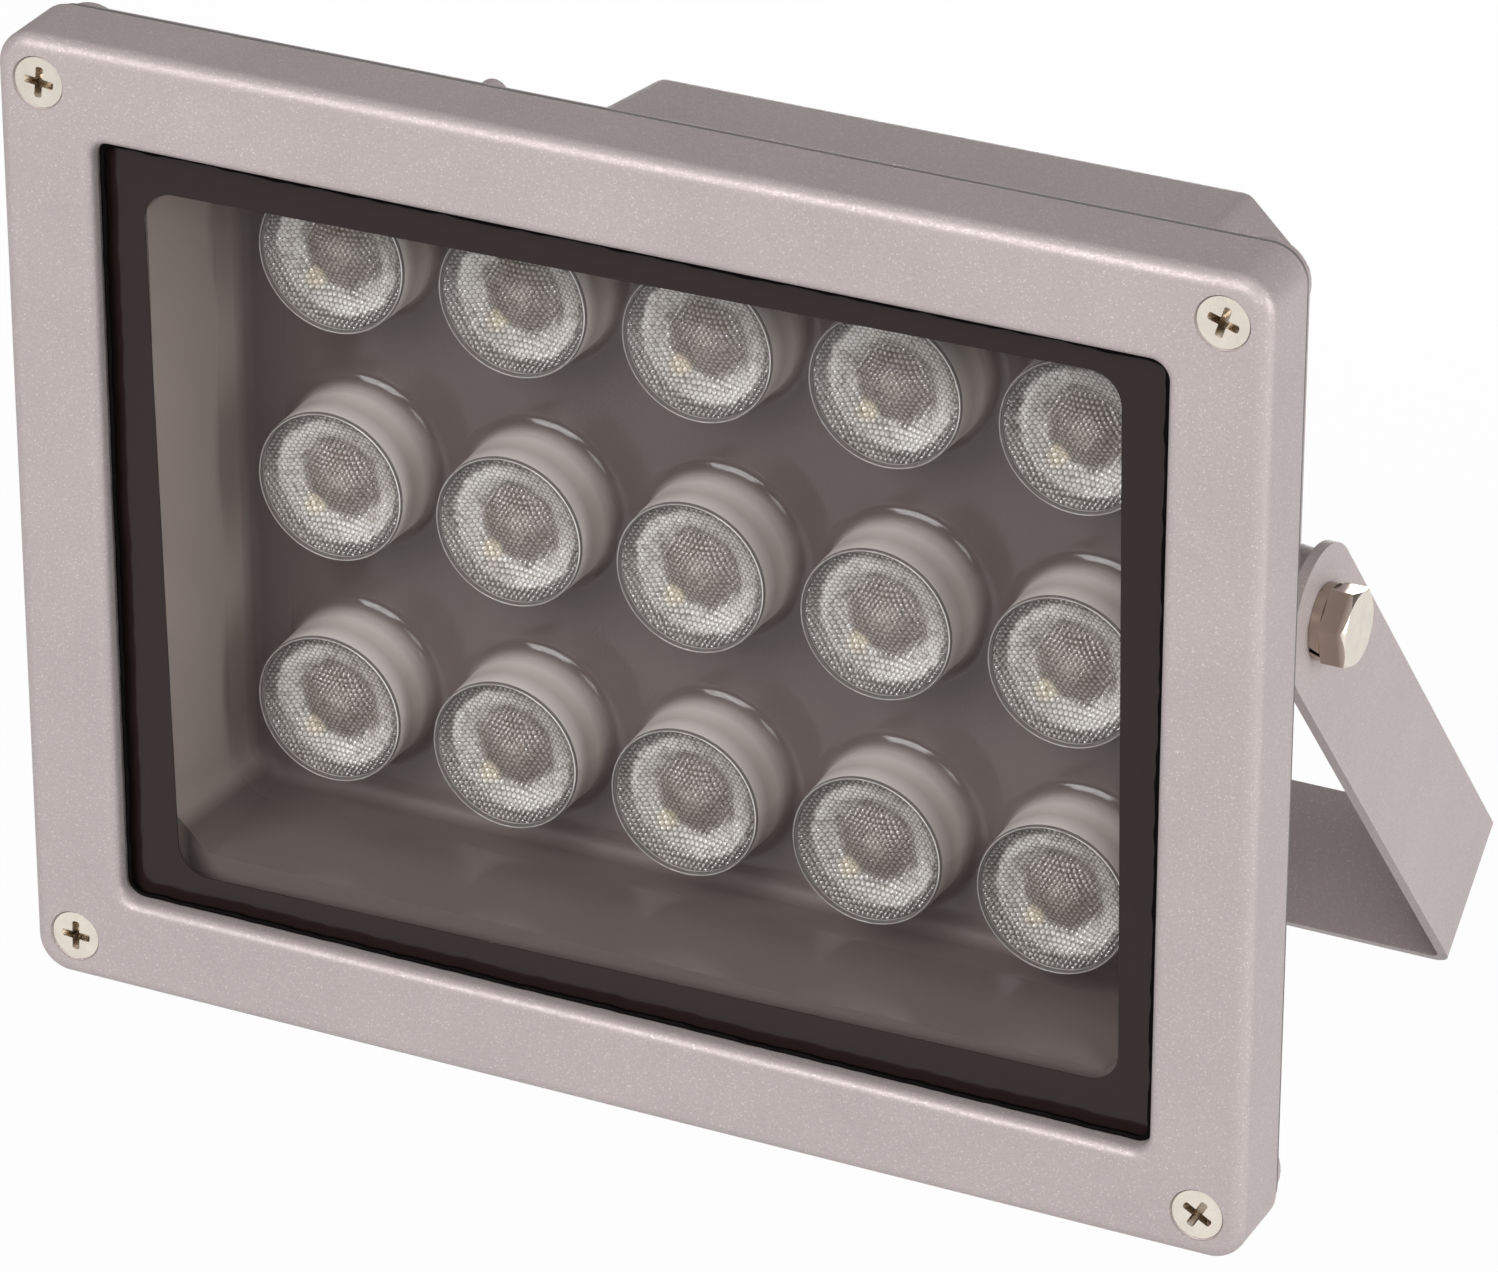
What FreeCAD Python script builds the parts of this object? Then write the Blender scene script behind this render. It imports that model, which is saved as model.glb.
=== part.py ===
import FreeCAD, Part
import math
import os
from FreeCAD import Rotation, Vector

# Infrared lamp: a rectangular die-cast head with fifteen lensed emitters behind glass, carried
# on a folded U bracket by two side bolts. Millimetres. The head is modelled upright about the
# centre of its front: X to the right, Y from the front to the back, Z up. At the end
# everything is shifted so that the origin is the bracket's centre mounting hole.

# Front frame
FRAME_W = 180.8
FRAME_H = 141.0
FRAME_DEPTH = 12.0
FRAME_CORNER = 5.0
FRAME_EDGE_ROUND = 2.0
FRAME_REAR_ROUND = 0.5
LIP_THICK = 3.2
LIP_ROUND = 1.5
FRAME_BAND = 13.7
OPENING_W = FRAME_W - 2 * FRAME_BAND
OPENING_H = FRAME_H - 2 * FRAME_BAND
OPENING_CORNER = 2.6
SKIRT_WALL = 3.2
RIB_WALL = 2.2
RIB_TO_REAR = 3.0
CHANNEL_FLOOR = 4.5

# Screws that hold the frame to the housing
SCREW_INSET = 6.45
SCREW_R = 1.95
SCREW_HEAD_R = 3.55
SCREW_HEAD_RECESS = 0.3
SCREW_LENGTH = 16.5
SCREW_CLEARANCE = 0.25
THREAD_CLEARANCE = 0.05
FRAME_BOSS_R = 5.4
CROSS_W = 1.1
CROSS_SPAN = 4.6
CROSS_DEPTH = 2.0
CROSS_TURNS = (18.0, 6.0, 2.0, 30.0)

# Glass, its printed border and the silicone bead that holds it
GLASS_THICK = 4.0
GLASS_OVERLAP = 2.4
GLASS_FIT = 0.4
BEAD_THICK = 0.6
BEAD_PROUD = 0.9
BEAD_SETBACK = 1.4
PRINT_BAND_X = 6.7
PRINT_BAND_Z = 5.8
WINDOW_W = OPENING_W - 2 * PRINT_BAND_X
WINDOW_H = OPENING_H - 2 * PRINT_BAND_Z
WINDOW_CORNER = 4.5
PRINT_THICK = 0.15
PRINT_GAP = 0.02
PRINT_TURN = -1.0

# Flat gasket between frame and housing
GASKET_THICK = 1.0
GASKET_INSET = 0.4
GASKET_BAND = 4.2
GASKET_PAD_R = 5.2

# Cast rear housing: flange, shallow tub and tapered driver box
FLANGE_THICK = 2.5
FLANGE_INSET = 1.3
FLANGE_REAR_ROUND = 0.5
CORNER_PAD_R = 5.6
CORNER_BOSS_R = 3.4
CORNER_BOSS_LENGTH = 4.7
GATE_LUG_X = -24.5
GATE_LUG_R = 2.1
GATE_LUG_PROUD = 0.9
TUB_BESIDE_OPENING = 0.8
TUB_ABOVE_OPENING = 2.2
TUB_W = OPENING_W + 2 * TUB_BESIDE_OPENING
TUB_H = OPENING_H + 2 * TUB_ABOVE_OPENING
TUB_CORNER = 8.0
TUB_WALL = 2.5
TUB_STRAIGHT_TO = 31.5
TUB_TAPER_X = 4.0
TUB_TAPER_Z = 4.5
SHELF_THICK = 3.0
BOX_REAR_Y = 105.5
BOX_INSIDE_TUB_X = 23.3
BOX_INSIDE_TUB_Z = 27.75
BOX_REAR_W = TUB_W - 2 * BOX_INSIDE_TUB_X
BOX_REAR_H = TUB_H - 2 * BOX_INSIDE_TUB_Z
BOX_DRAFT_X = 0.073
BOX_DRAFT_Z = 0.090
BOX_CHAMFER = 9.5
BOX_EDGE_ROUND = 2.5
BOX_WALL = 3.0
FIN_COUNT = 9
FIN_INSIDE_BOX_X = 14.2
FIN_INSIDE_BOX_Z = 9.25
FIN_PITCH = (BOX_REAR_W - 2 * FIN_INSIDE_BOX_X) / (FIN_COUNT - 1)
FIN_THICK = 2.4
FIN_DEPTH = 5.0
FIN_LENGTH = BOX_REAR_H - 2 * FIN_INSIDE_BOX_Z

# Side bosses and the bolts that the head turns on
PIVOT_Y = 47.4
SIDE_BOSS_R = 9.0
SIDE_BOSS_ROOT_R = 11.0
SIDE_BOSS_HOLE = 17.0
BOLT_R = 3.0
BOLT_HEAD_AF = 10.0
BOLT_HEAD_H = 3.7
BOLT_LENGTH = 18.0
BOLT_TURN = 15.0
SPRING_R = 5.3
SPRING_THICK = 1.4
SPRING_SPLIT = 0.9
SPRING_SPLIT_TURN = 26.0
RUN_CLEARANCE = 0.05

# Folded bracket, swung back from straight down by BRACKET_SWING
ARM_OUTSIDE_TUB = 2.5
BRACKET_W = TUB_W + 2 * ARM_OUTSIDE_TUB
BRACKET_STRIP = 21.0
BRACKET_THICK = 1.5
BRACKET_REACH = 96.0
BRACKET_BEND_R = 3.0
BRACKET_SWING = 40.5
BRACKET_SIDE_GAP = 0.1
BASE_HOLE_R = 4.5
BASE_SIDE_HOLE_R = 3.25
BASE_SIDE_HOLE_SHARE = 0.4
BASE_SIDE_HOLE_X = BASE_SIDE_HOLE_SHARE * BRACKET_W / 2

# Lens tray; its grid of sockets is turned a little in it, together with the emitters
MODULE_TURN = 1.77
COLUMNS = 5
ROWS = 3
TRAY_WALL = 1.2
TRAY_FLARE = 0.3
TRAY_TO_TUB_X = 0.8
TRAY_TO_TUB_Z = 4.2
TRAY_FLOOR_W = TUB_W - 2 * (TUB_WALL + TRAY_TO_TUB_X + TRAY_WALL + TRAY_FLARE)
TRAY_FLOOR_H = TUB_H - 2 * (TUB_WALL + TRAY_TO_TUB_Z + TRAY_WALL + TRAY_FLARE)
GRID_INSIDE_TRAY_X = 18.5
GRID_INSIDE_TRAY_Z = 16.6
PITCH_X = (TRAY_FLOOR_W - 2 * GRID_INSIDE_TRAY_X) / (COLUMNS - 1)
PITCH_Z = (TRAY_FLOOR_H - 2 * GRID_INSIDE_TRAY_Z) / (ROWS - 1)
TRAY_FRONT_GAP = 0.4
TRAY_FLOOR_Y = 32.0
TRAY_FLOOR_CHAMFER = 3.5
TRAY_FRONT_CHAMFER = 6.0
TRAY_FLOOR_THICK = 1.5
TRAY_ROUND = 2.0
TRAY_PEG_R = 3.0
SOCKET_HEIGHT = 9.8
SOCKET_WALL = 0.5
SOCKET_DRAFT = 0.2
SOCKET_ROUND = 2.2
SOCKET_SEAT = 1.7

# Lenses and emitters
LENS_R = 10.4
LENS_FIT = 0.05
LENS_FLANGE = 1.5
LENS_RECESS = 0.15
LENS_SEAT_WIDTH = 0.75
LENS_NECK_R = 9.3
LENS_FOOT_R = 4.6
LENS_HEIGHT = 12.8
LENS_CUP_R = 3.2
LENS_CUP_DEPTH = 5.0
LENS_CUP_BULGE = 1.3
LED_SIDE = 3.5
LED_BASE = 0.8
LED_DOME_R = 1.6

# Emitter board and its screws
BOARD_Y = 37.2
BOARD_THICK = 2.0
BOARD_TO_TUB_X = 5.5
BOARD_TO_TUB_Z = 6.2
BOARD_W = TUB_W - 2 * (TUB_WALL + BOARD_TO_TUB_X)
BOARD_H = TUB_H - 2 * (TUB_WALL + BOARD_TO_TUB_Z)
BOARD_CORNER = 5.0
BOARD_SCREW_INSET = 5.5
BOARD_SCREW_X = BOARD_W / 2 - BOARD_SCREW_INSET
BOARD_SCREW_Z = BOARD_H / 2 - BOARD_SCREW_INSET
SMALL_SCREW_R = 1.5
SMALL_HEAD_R = 2.75
SMALL_HEAD_H = 2.0
SMALL_SCREW_LENGTH = 8.0
SMALL_HOLE_CLEARANCE = 0.2
SHELF_BOSS_R = 3.6
SHELF_BOSS_LENGTH = 4.8

# Driver board in the box
DRIVER_INSIDE_BOX = 10.2
DRIVER_ABOVE_BOX_FLOOR = 12.25
DRIVER_W = BOX_REAR_W - 2 * DRIVER_INSIDE_BOX
DRIVER_L = 44.0
DRIVER_THICK = 1.6
DRIVER_FRONT_Y = 50.0
DRIVER_Z = DRIVER_ABOVE_BOX_FLOOR - BOX_REAR_H / 2
DRIVER_HOLE_INSET = 4.5
POST_R = 3.2
TRANSFORMER = (20.0, 17.0, 16.0)
TRANSFORMER_AT = (-DRIVER_W / 4, 72.0)
CAPACITOR_R = 6.3
CAPACITOR_H = 20.0
CAPACITOR_AT = (12.0, 74.0)
INDUCTOR_R = 5.5
INDUCTOR_H = 9.0
INDUCTOR_AT = (DRIVER_W * 0.3, 63.5)
TERMINAL = (16.0, 9.0, 11.0)
TERMINAL_AT = (2.0, 87.5)

# Cable gland under the box
GLAND_Y = 85.0
GLAND_PAD_R = 13.0
GLAND_PAD_BELOW_BOX = 5.25
GLAND_SEAT_IN_BOX = 3.75
GLAND_PAD_Z = -(BOX_REAR_H / 2 + GLAND_PAD_BELOW_BOX)
GLAND_SEAT_Z = -(BOX_REAR_H / 2 - GLAND_SEAT_IN_BOX)
GLAND_THREAD_R = 8.0
GLAND_HEX_AF = 20.0
GLAND_HEX_H = 5.0
GLAND_DOME_R = 9.2
GLAND_DOME_H = 15.0
GLAND_BORE_R = 4.0
GLAND_NUT_AF = 19.0
GLAND_NUT_H = 4.0
GROMMET_R = 5.8
GROMMET_BORE_R = 3.2

# Places worked out from the sizes above
HALF_W = FRAME_W / 2
HALF_H = FRAME_H / 2
SCREW_X = HALF_W - SCREW_INSET
SCREW_Z = HALF_H - SCREW_INSET
PRINT_Y = LIP_THICK + BEAD_THICK + PRINT_GAP
GLASS_Y = PRINT_Y + PRINT_THICK + PRINT_GAP
GLASS_REAR_Y = GLASS_Y + GLASS_THICK
GLASS_W = OPENING_W + 2 * GLASS_OVERLAP
GLASS_H = OPENING_H + 2 * GLASS_OVERLAP
POCKET_W = GLASS_W + 2 * GLASS_FIT
POCKET_H = GLASS_H + 2 * GLASS_FIT
FLANGE_Y = FRAME_DEPTH + GASKET_THICK
FLANGE_REAR_Y = FLANGE_Y + FLANGE_THICK
SHELF_Y = BOARD_Y + BOARD_THICK
TUB_REAR_Y = SHELF_Y + SHELF_THICK
TRAY_FRONT_Y = GLASS_REAR_Y + TRAY_FRONT_GAP
SOCKET_RIM_Y = TRAY_FLOOR_Y - SOCKET_HEIGHT
SOCKET_R = LENS_R + LENS_FIT
LENS_Y = SOCKET_RIM_Y + LENS_RECESS
ARM_OUTER_X = BRACKET_W / 2
ARM_INNER_X = ARM_OUTER_X - BRACKET_THICK
BOSS_FACE_X = ARM_INNER_X - BRACKET_SIDE_GAP
SPRING_X = ARM_OUTER_X + RUN_CLEARANCE
BOLT_HEAD_X = SPRING_X + SPRING_THICK
PIVOT = Vector(0, PIVOT_Y, 0)
SWING = math.radians(BRACKET_SWING)
MOUNT_POINT = PIVOT + Vector(0, math.sin(SWING), -math.cos(SWING)) * BRACKET_REACH

ALONG_X = Vector(1, 0, 0)
ALONG_Y = Vector(0, 1, 0)
ALONG_Z = Vector(0, 0, 1)
CORNERS = [(1, 1), (-1, 1), (-1, -1), (1, -1)]


def rounded_outline(width, height, radius, y):
    """Closed wire at depth y: a rectangle with round corners, centred on the axis."""
    arcs = []
    for turn, (side, level) in enumerate(CORNERS):
        centre = Vector(side * (width / 2 - radius), y, level * (height / 2 - radius))
        points = []
        for step in (0, 45, 90):
            angle = math.radians(90 * turn + step)
            points.append(centre + Vector(math.cos(angle), 0, math.sin(angle)) * radius)
        arcs.append(points)
    edges = []
    for place, points in enumerate(arcs):
        following = arcs[(place + 1) % 4]
        edges.append(Part.Arc(*points).toShape())
        edges.append(Part.LineSegment(points[2], following[0]).toShape())
    return Part.Wire(edges)


def chamfered_outline(width, height, chamfer, y):
    """Closed wire at depth y: a rectangle with cut corners, centred on the axis."""
    x, z = width / 2, height / 2
    flat = [(x, z - chamfer), (x - chamfer, z), (chamfer - x, z), (-x, z - chamfer),
            (-x, chamfer - z), (chamfer - x, -z), (x - chamfer, -z), (x, chamfer - z)]
    points = [Vector(px, y, pz) for px, pz in flat]
    return Part.makePolygon(points + points[:1])


def slab(width, height, radius, y_from, y_to):
    """Plate with round corners between two depths."""
    face = Part.Face(rounded_outline(width, height, radius, y_from))
    return face.extrude(ALONG_Y * (y_to - y_from))


def rod(radius, start, direction, length):
    """Round rod from a point along a direction."""
    return Part.makeCylinder(radius, length, start, direction)


def taper(radius_from, radius_to, start, direction, length):
    """Round rod whose radius changes along its length."""
    return Part.makeCone(radius_from, radius_to, length, start, direction)


def hexagon_prism(across_flats, start, direction, length, turn=0.0):
    """Six-sided prism from a point along a direction, its far end chamfered to a round face."""
    corner_r = across_flats / 2 / math.cos(math.radians(30))
    chamfer_slope = 1.73
    points = []
    for step in range(6):
        angle = math.radians(60 * step + turn)
        points.append(Vector(corner_r * math.cos(angle), corner_r * math.sin(angle), 0))
    prism = Part.Face(Part.makePolygon(points + points[:1])).extrude(ALONG_Z * length)
    face_r = across_flats / 2 * 0.985
    top = Part.makeCone(face_r + length * chamfer_slope, face_r, length, Vector(0, 0, 0), ALONG_Z)
    prism = prism.common(top)
    prism.Placement = FreeCAD.Placement(start, Rotation(ALONG_Z, direction))
    return prism


def turned(outline, centre, y_rise=1.0):
    """Solid of revolution about the Y axis through centre, from (radius, y) points and arcs."""
    edges = []
    for part in outline:
        points = [centre + Vector(r, y * y_rise, 0) for r, y in part]
        edges.append(Part.LineSegment(*points).toShape() if len(points) == 2 else Part.Arc(*points).toShape())
    return Part.Face(Part.Wire(edges)).revolve(centre, ALONG_Y, 360)


def edges_in_plane(shape, y):
    """Edges of a shape that lie wholly at depth y."""
    found = []
    for edge in shape.Edges:
        box = edge.BoundBox
        if abs(box.YMin - y) < 1e-6 and abs(box.YMax - y) < 1e-6:
            found.append(edge)
    return found


def edges_along_depth(shape):
    """Edges of a shape that run from front to back, straight or slanting."""
    found = []
    for edge in shape.Edges:
        box = edge.BoundBox
        if box.YLength > max(box.XLength, box.ZLength):
            found.append(edge)
    return found


def fused(shapes):
    """One solid from several that overlap."""
    whole = shapes[0].multiFuse(shapes[1:]).removeSplitter()
    return whole.Solids[0] if len(whole.Solids) == 1 else whole


def frame_screw_places():
    """Centres of the four frame screws at the front plane."""
    return [Vector(side * SCREW_X, 0, level * SCREW_Z) for side, level in CORNERS]


def module_place(shape):
    """Turns a shape of the tray and emitter module to the module's own slant."""
    shape.rotate(Vector(0, 0, 0), ALONG_Y, MODULE_TURN)
    return shape


def module_point(x, y, z):
    """A point of the module at the module's own slant."""
    return Rotation(ALONG_Y, MODULE_TURN).multVec(Vector(x, y, z))


def grid_places():
    """Column, row and centre of each lens before the module is turned, top row first."""
    places = []
    for row in range(ROWS):
        for column in range(COLUMNS):
            x = (column - (COLUMNS - 1) / 2) * PITCH_X
            z = ((ROWS - 1) / 2 - row) * PITCH_Z
            places.append((column + 1, row + 1, Vector(x, 0, z)))
    return places


def bezel():
    """Front frame casting with a rounded lip, a glass pocket and a hollow back."""
    body = slab(FRAME_W, FRAME_H, FRAME_CORNER, 0, FRAME_DEPTH)
    body = body.makeFillet(FRAME_EDGE_ROUND, edges_in_plane(body, 0))
    body = body.makeFillet(FRAME_REAR_ROUND, edges_in_plane(body, FRAME_DEPTH))
    opening = slab(OPENING_W, OPENING_H, OPENING_CORNER, -1, FRAME_DEPTH + 1)
    outer_edges = len(edges_in_plane(body, 0))
    body = body.cut(opening)
    lip = [edge for edge in edges_in_plane(body, 0)
           if abs(edge.BoundBox.XMax) <= OPENING_W / 2 + 1e-6 and abs(edge.BoundBox.ZMax) <= OPENING_H / 2 + 1e-6]
    assert outer_edges and lip
    body = body.makeFillet(LIP_ROUND, lip)
    body = body.cut(slab(POCKET_W, POCKET_H, OPENING_CORNER + GLASS_OVERLAP, LIP_THICK, FRAME_DEPTH + 1))
    rib_w = POCKET_W + 2 * RIB_WALL
    rib_h = POCKET_H + 2 * RIB_WALL
    rib_corner = OPENING_CORNER + GLASS_OVERLAP + RIB_WALL
    rib_end_y = FRAME_DEPTH - RIB_TO_REAR
    skirt_w = FRAME_W - 2 * SKIRT_WALL
    skirt_h = FRAME_H - 2 * SKIRT_WALL
    channel = slab(skirt_w, skirt_h, FRAME_CORNER, CHANNEL_FLOOR, FRAME_DEPTH + 1)
    channel = channel.cut(slab(rib_w, rib_h, rib_corner, CHANNEL_FLOOR - 1, rib_end_y))
    for place in frame_screw_places():
        channel = channel.cut(rod(FRAME_BOSS_R, place, ALONG_Y, FRAME_DEPTH + 2))
    body = body.cut(channel)
    hole_r = SCREW_R + SCREW_CLEARANCE
    seat_r = SCREW_HEAD_R + SCREW_CLEARANCE
    for place in frame_screw_places():
        body = body.cut(rod(hole_r, place - ALONG_Y, ALONG_Y, FRAME_DEPTH + 2))
        body = body.cut(rod(seat_r, place - ALONG_Y, ALONG_Y, 1 + SCREW_HEAD_RECESS))
        cone_start = place + ALONG_Y * SCREW_HEAD_RECESS
        body = body.cut(taper(seat_r, hole_r, cone_start, ALONG_Y, seat_r - hole_r))
    return body


def cross_recess(face_point, turn):
    """Cross-shaped driver recess that narrows to its floor, cut into a head that faces the front."""
    arms = []
    for width, span in ((CROSS_W, CROSS_SPAN), (CROSS_SPAN, CROSS_W)):
        outlines = []
        for y, share in ((-0.2, 1.0), (CROSS_DEPTH, 0.45)):
            long_side = max(width, span) * share
            short_side = min(width, span) * (0.6 + 0.4 * share)
            w, h = (short_side, long_side) if width < span else (long_side, short_side)
            outlines.append(chamfered_outline(w, h, short_side * 0.2, y))
        arms.append(Part.makeLoft(outlines, True, True))
    recess = fused(arms)
    recess.rotate(Vector(0, 0, 0), ALONG_Y, turn)
    recess.translate(face_point)
    return recess


def bezel_screws():
    """Four flat-head screws, each a separate solid."""
    screws = []
    for place, turn in zip(frame_screw_places(), CROSS_TURNS):
        face = place + ALONG_Y * SCREW_HEAD_RECESS
        rim = rod(SCREW_HEAD_R, face, ALONG_Y, SCREW_CLEARANCE)
        cone = taper(SCREW_HEAD_R, SCREW_R, face + ALONG_Y * SCREW_CLEARANCE, ALONG_Y, SCREW_HEAD_R - SCREW_R)
        shank = rod(SCREW_R, face + ALONG_Y * SCREW_CLEARANCE, ALONG_Y, SCREW_LENGTH)
        screw = fused([rim, cone, shank]).cut(cross_recess(face, turn))
        screws.append(screw)
    return Part.makeCompound(screws)


def front_glass():
    """Flat toughened glass."""
    return slab(GLASS_W, GLASS_H, OPENING_CORNER + GLASS_OVERLAP - GLASS_FIT, GLASS_Y, GLASS_REAR_Y)


def glass_border_print():
    """Black border printed on the front of the glass round the clear window."""
    y = PRINT_Y
    ring = slab(GLASS_W - GLASS_FIT, GLASS_H - GLASS_FIT, OPENING_CORNER + GLASS_OVERLAP - GLASS_FIT,
                y, y + PRINT_THICK)
    window = slab(WINDOW_W, WINDOW_H, WINDOW_CORNER, y - 1, y + PRINT_THICK + 1)
    window.rotate(Vector(0, 0, 0), ALONG_Y, PRINT_TURN)
    return ring.cut(window)


def glass_seal():
    """Silicone bead between the lip and the glass, standing a little proud into the opening."""
    seat_y = LIP_THICK + BEAD_THICK
    behind_lip = slab(POCKET_W - GLASS_FIT, POCKET_H - GLASS_FIT, OPENING_CORNER + GLASS_OVERLAP, LIP_THICK, seat_y)
    in_opening = slab(OPENING_W, OPENING_H, OPENING_CORNER, LIP_THICK - BEAD_SETBACK, LIP_THICK)
    front_w = OPENING_W - BEAD_PROUD * 0.4
    front_h = OPENING_H - BEAD_PROUD * 0.4
    rear_w = OPENING_W - 2 * BEAD_PROUD
    rear_h = OPENING_H - 2 * BEAD_PROUD
    front = rounded_outline(front_w, front_h, OPENING_CORNER, LIP_THICK - BEAD_SETBACK)
    rear = rounded_outline(rear_w, rear_h, OPENING_CORNER - 0.5, seat_y)
    clear = Part.makeLoft([front, rear], True, True)
    return fused([behind_lip, in_opening]).cut(clear)


def housing_gasket():
    """Flat gasket with a pad round each frame screw."""
    rear_y = FRAME_DEPTH + GASKET_THICK
    width = FRAME_W - 2 * GASKET_INSET
    height = FRAME_H - 2 * GASKET_INSET
    outer = slab(width, height, FRAME_CORNER, FRAME_DEPTH, rear_y)
    inner = slab(width - 2 * GASKET_BAND, height - 2 * GASKET_BAND, FRAME_CORNER, FRAME_DEPTH - 1, rear_y + 1)
    pads = [rod(GASKET_PAD_R, place + ALONG_Y * FRAME_DEPTH, ALONG_Y, GASKET_THICK).common(outer)
            for place in frame_screw_places()]
    ring = fused([outer.cut(inner)] + pads)
    for place in frame_screw_places():
        ring = ring.cut(rod(SCREW_R + SCREW_CLEARANCE, place, ALONG_Y, rear_y + 1))
    return ring


def box_outline(y, inset=0.0):
    """Outline of the driver box at depth y, wider towards the front by its draft."""
    ahead = BOX_REAR_Y - y
    width = BOX_REAR_W + 2 * ahead * BOX_DRAFT_X - 2 * inset
    height = BOX_REAR_H + 2 * ahead * BOX_DRAFT_Z - 2 * inset
    return chamfered_outline(width, height, BOX_CHAMFER - inset * 0.586, y)


def tub_shape(inset, y_from, y_to):
    """Tub of the housing, straight and then tapered to its back, smaller all round by inset."""
    width = TUB_W - 2 * inset
    height = TUB_H - 2 * inset
    straight = slab(width, height, TUB_CORNER - inset, y_from, TUB_STRAIGHT_TO)
    share = (y_to - TUB_STRAIGHT_TO) / (TUB_REAR_Y - TUB_STRAIGHT_TO)
    front = rounded_outline(width, height, TUB_CORNER - inset, TUB_STRAIGHT_TO)
    rear = rounded_outline(width - 2 * TUB_TAPER_X * share, height - 2 * TUB_TAPER_Z * share,
                           TUB_CORNER - inset, y_to)
    return fused([straight, Part.makeLoft([front, rear], True, True)])


def board_screw_places():
    """Centres of the emitter board's screws on the board's front, at the module's slant."""
    places = []
    for level in (1, -1):
        for side in (-1, 0, 1):
            places.append(module_point(side * BOARD_SCREW_X, BOARD_Y, level * BOARD_SCREW_Z))
    return places


def driver_screw_places():
    """Centres of the driver board's screws on the board's top."""
    across = DRIVER_W / 2 - DRIVER_HOLE_INSET
    ahead = DRIVER_FRONT_Y + DRIVER_HOLE_INSET
    behind = DRIVER_FRONT_Y + DRIVER_L - DRIVER_HOLE_INSET
    return [Vector(side * across, y, DRIVER_Z + DRIVER_THICK) for side in (-1, 1) for y in (ahead, behind)]


def cooling_fin(x):
    """One upright fin on the back of the box, with slanted ends."""
    root = BOX_REAR_Y - 1
    tip = BOX_REAR_Y + FIN_DEPTH
    half = FIN_LENGTH / 2
    left = x - FIN_THICK / 2
    points = [Vector(left, root, half), Vector(left, tip, half - FIN_DEPTH),
              Vector(left, tip, FIN_DEPTH - half), Vector(left, root, -half)]
    return Part.Face(Part.makePolygon(points + points[:1])).extrude(ALONG_X * FIN_THICK)


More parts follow.
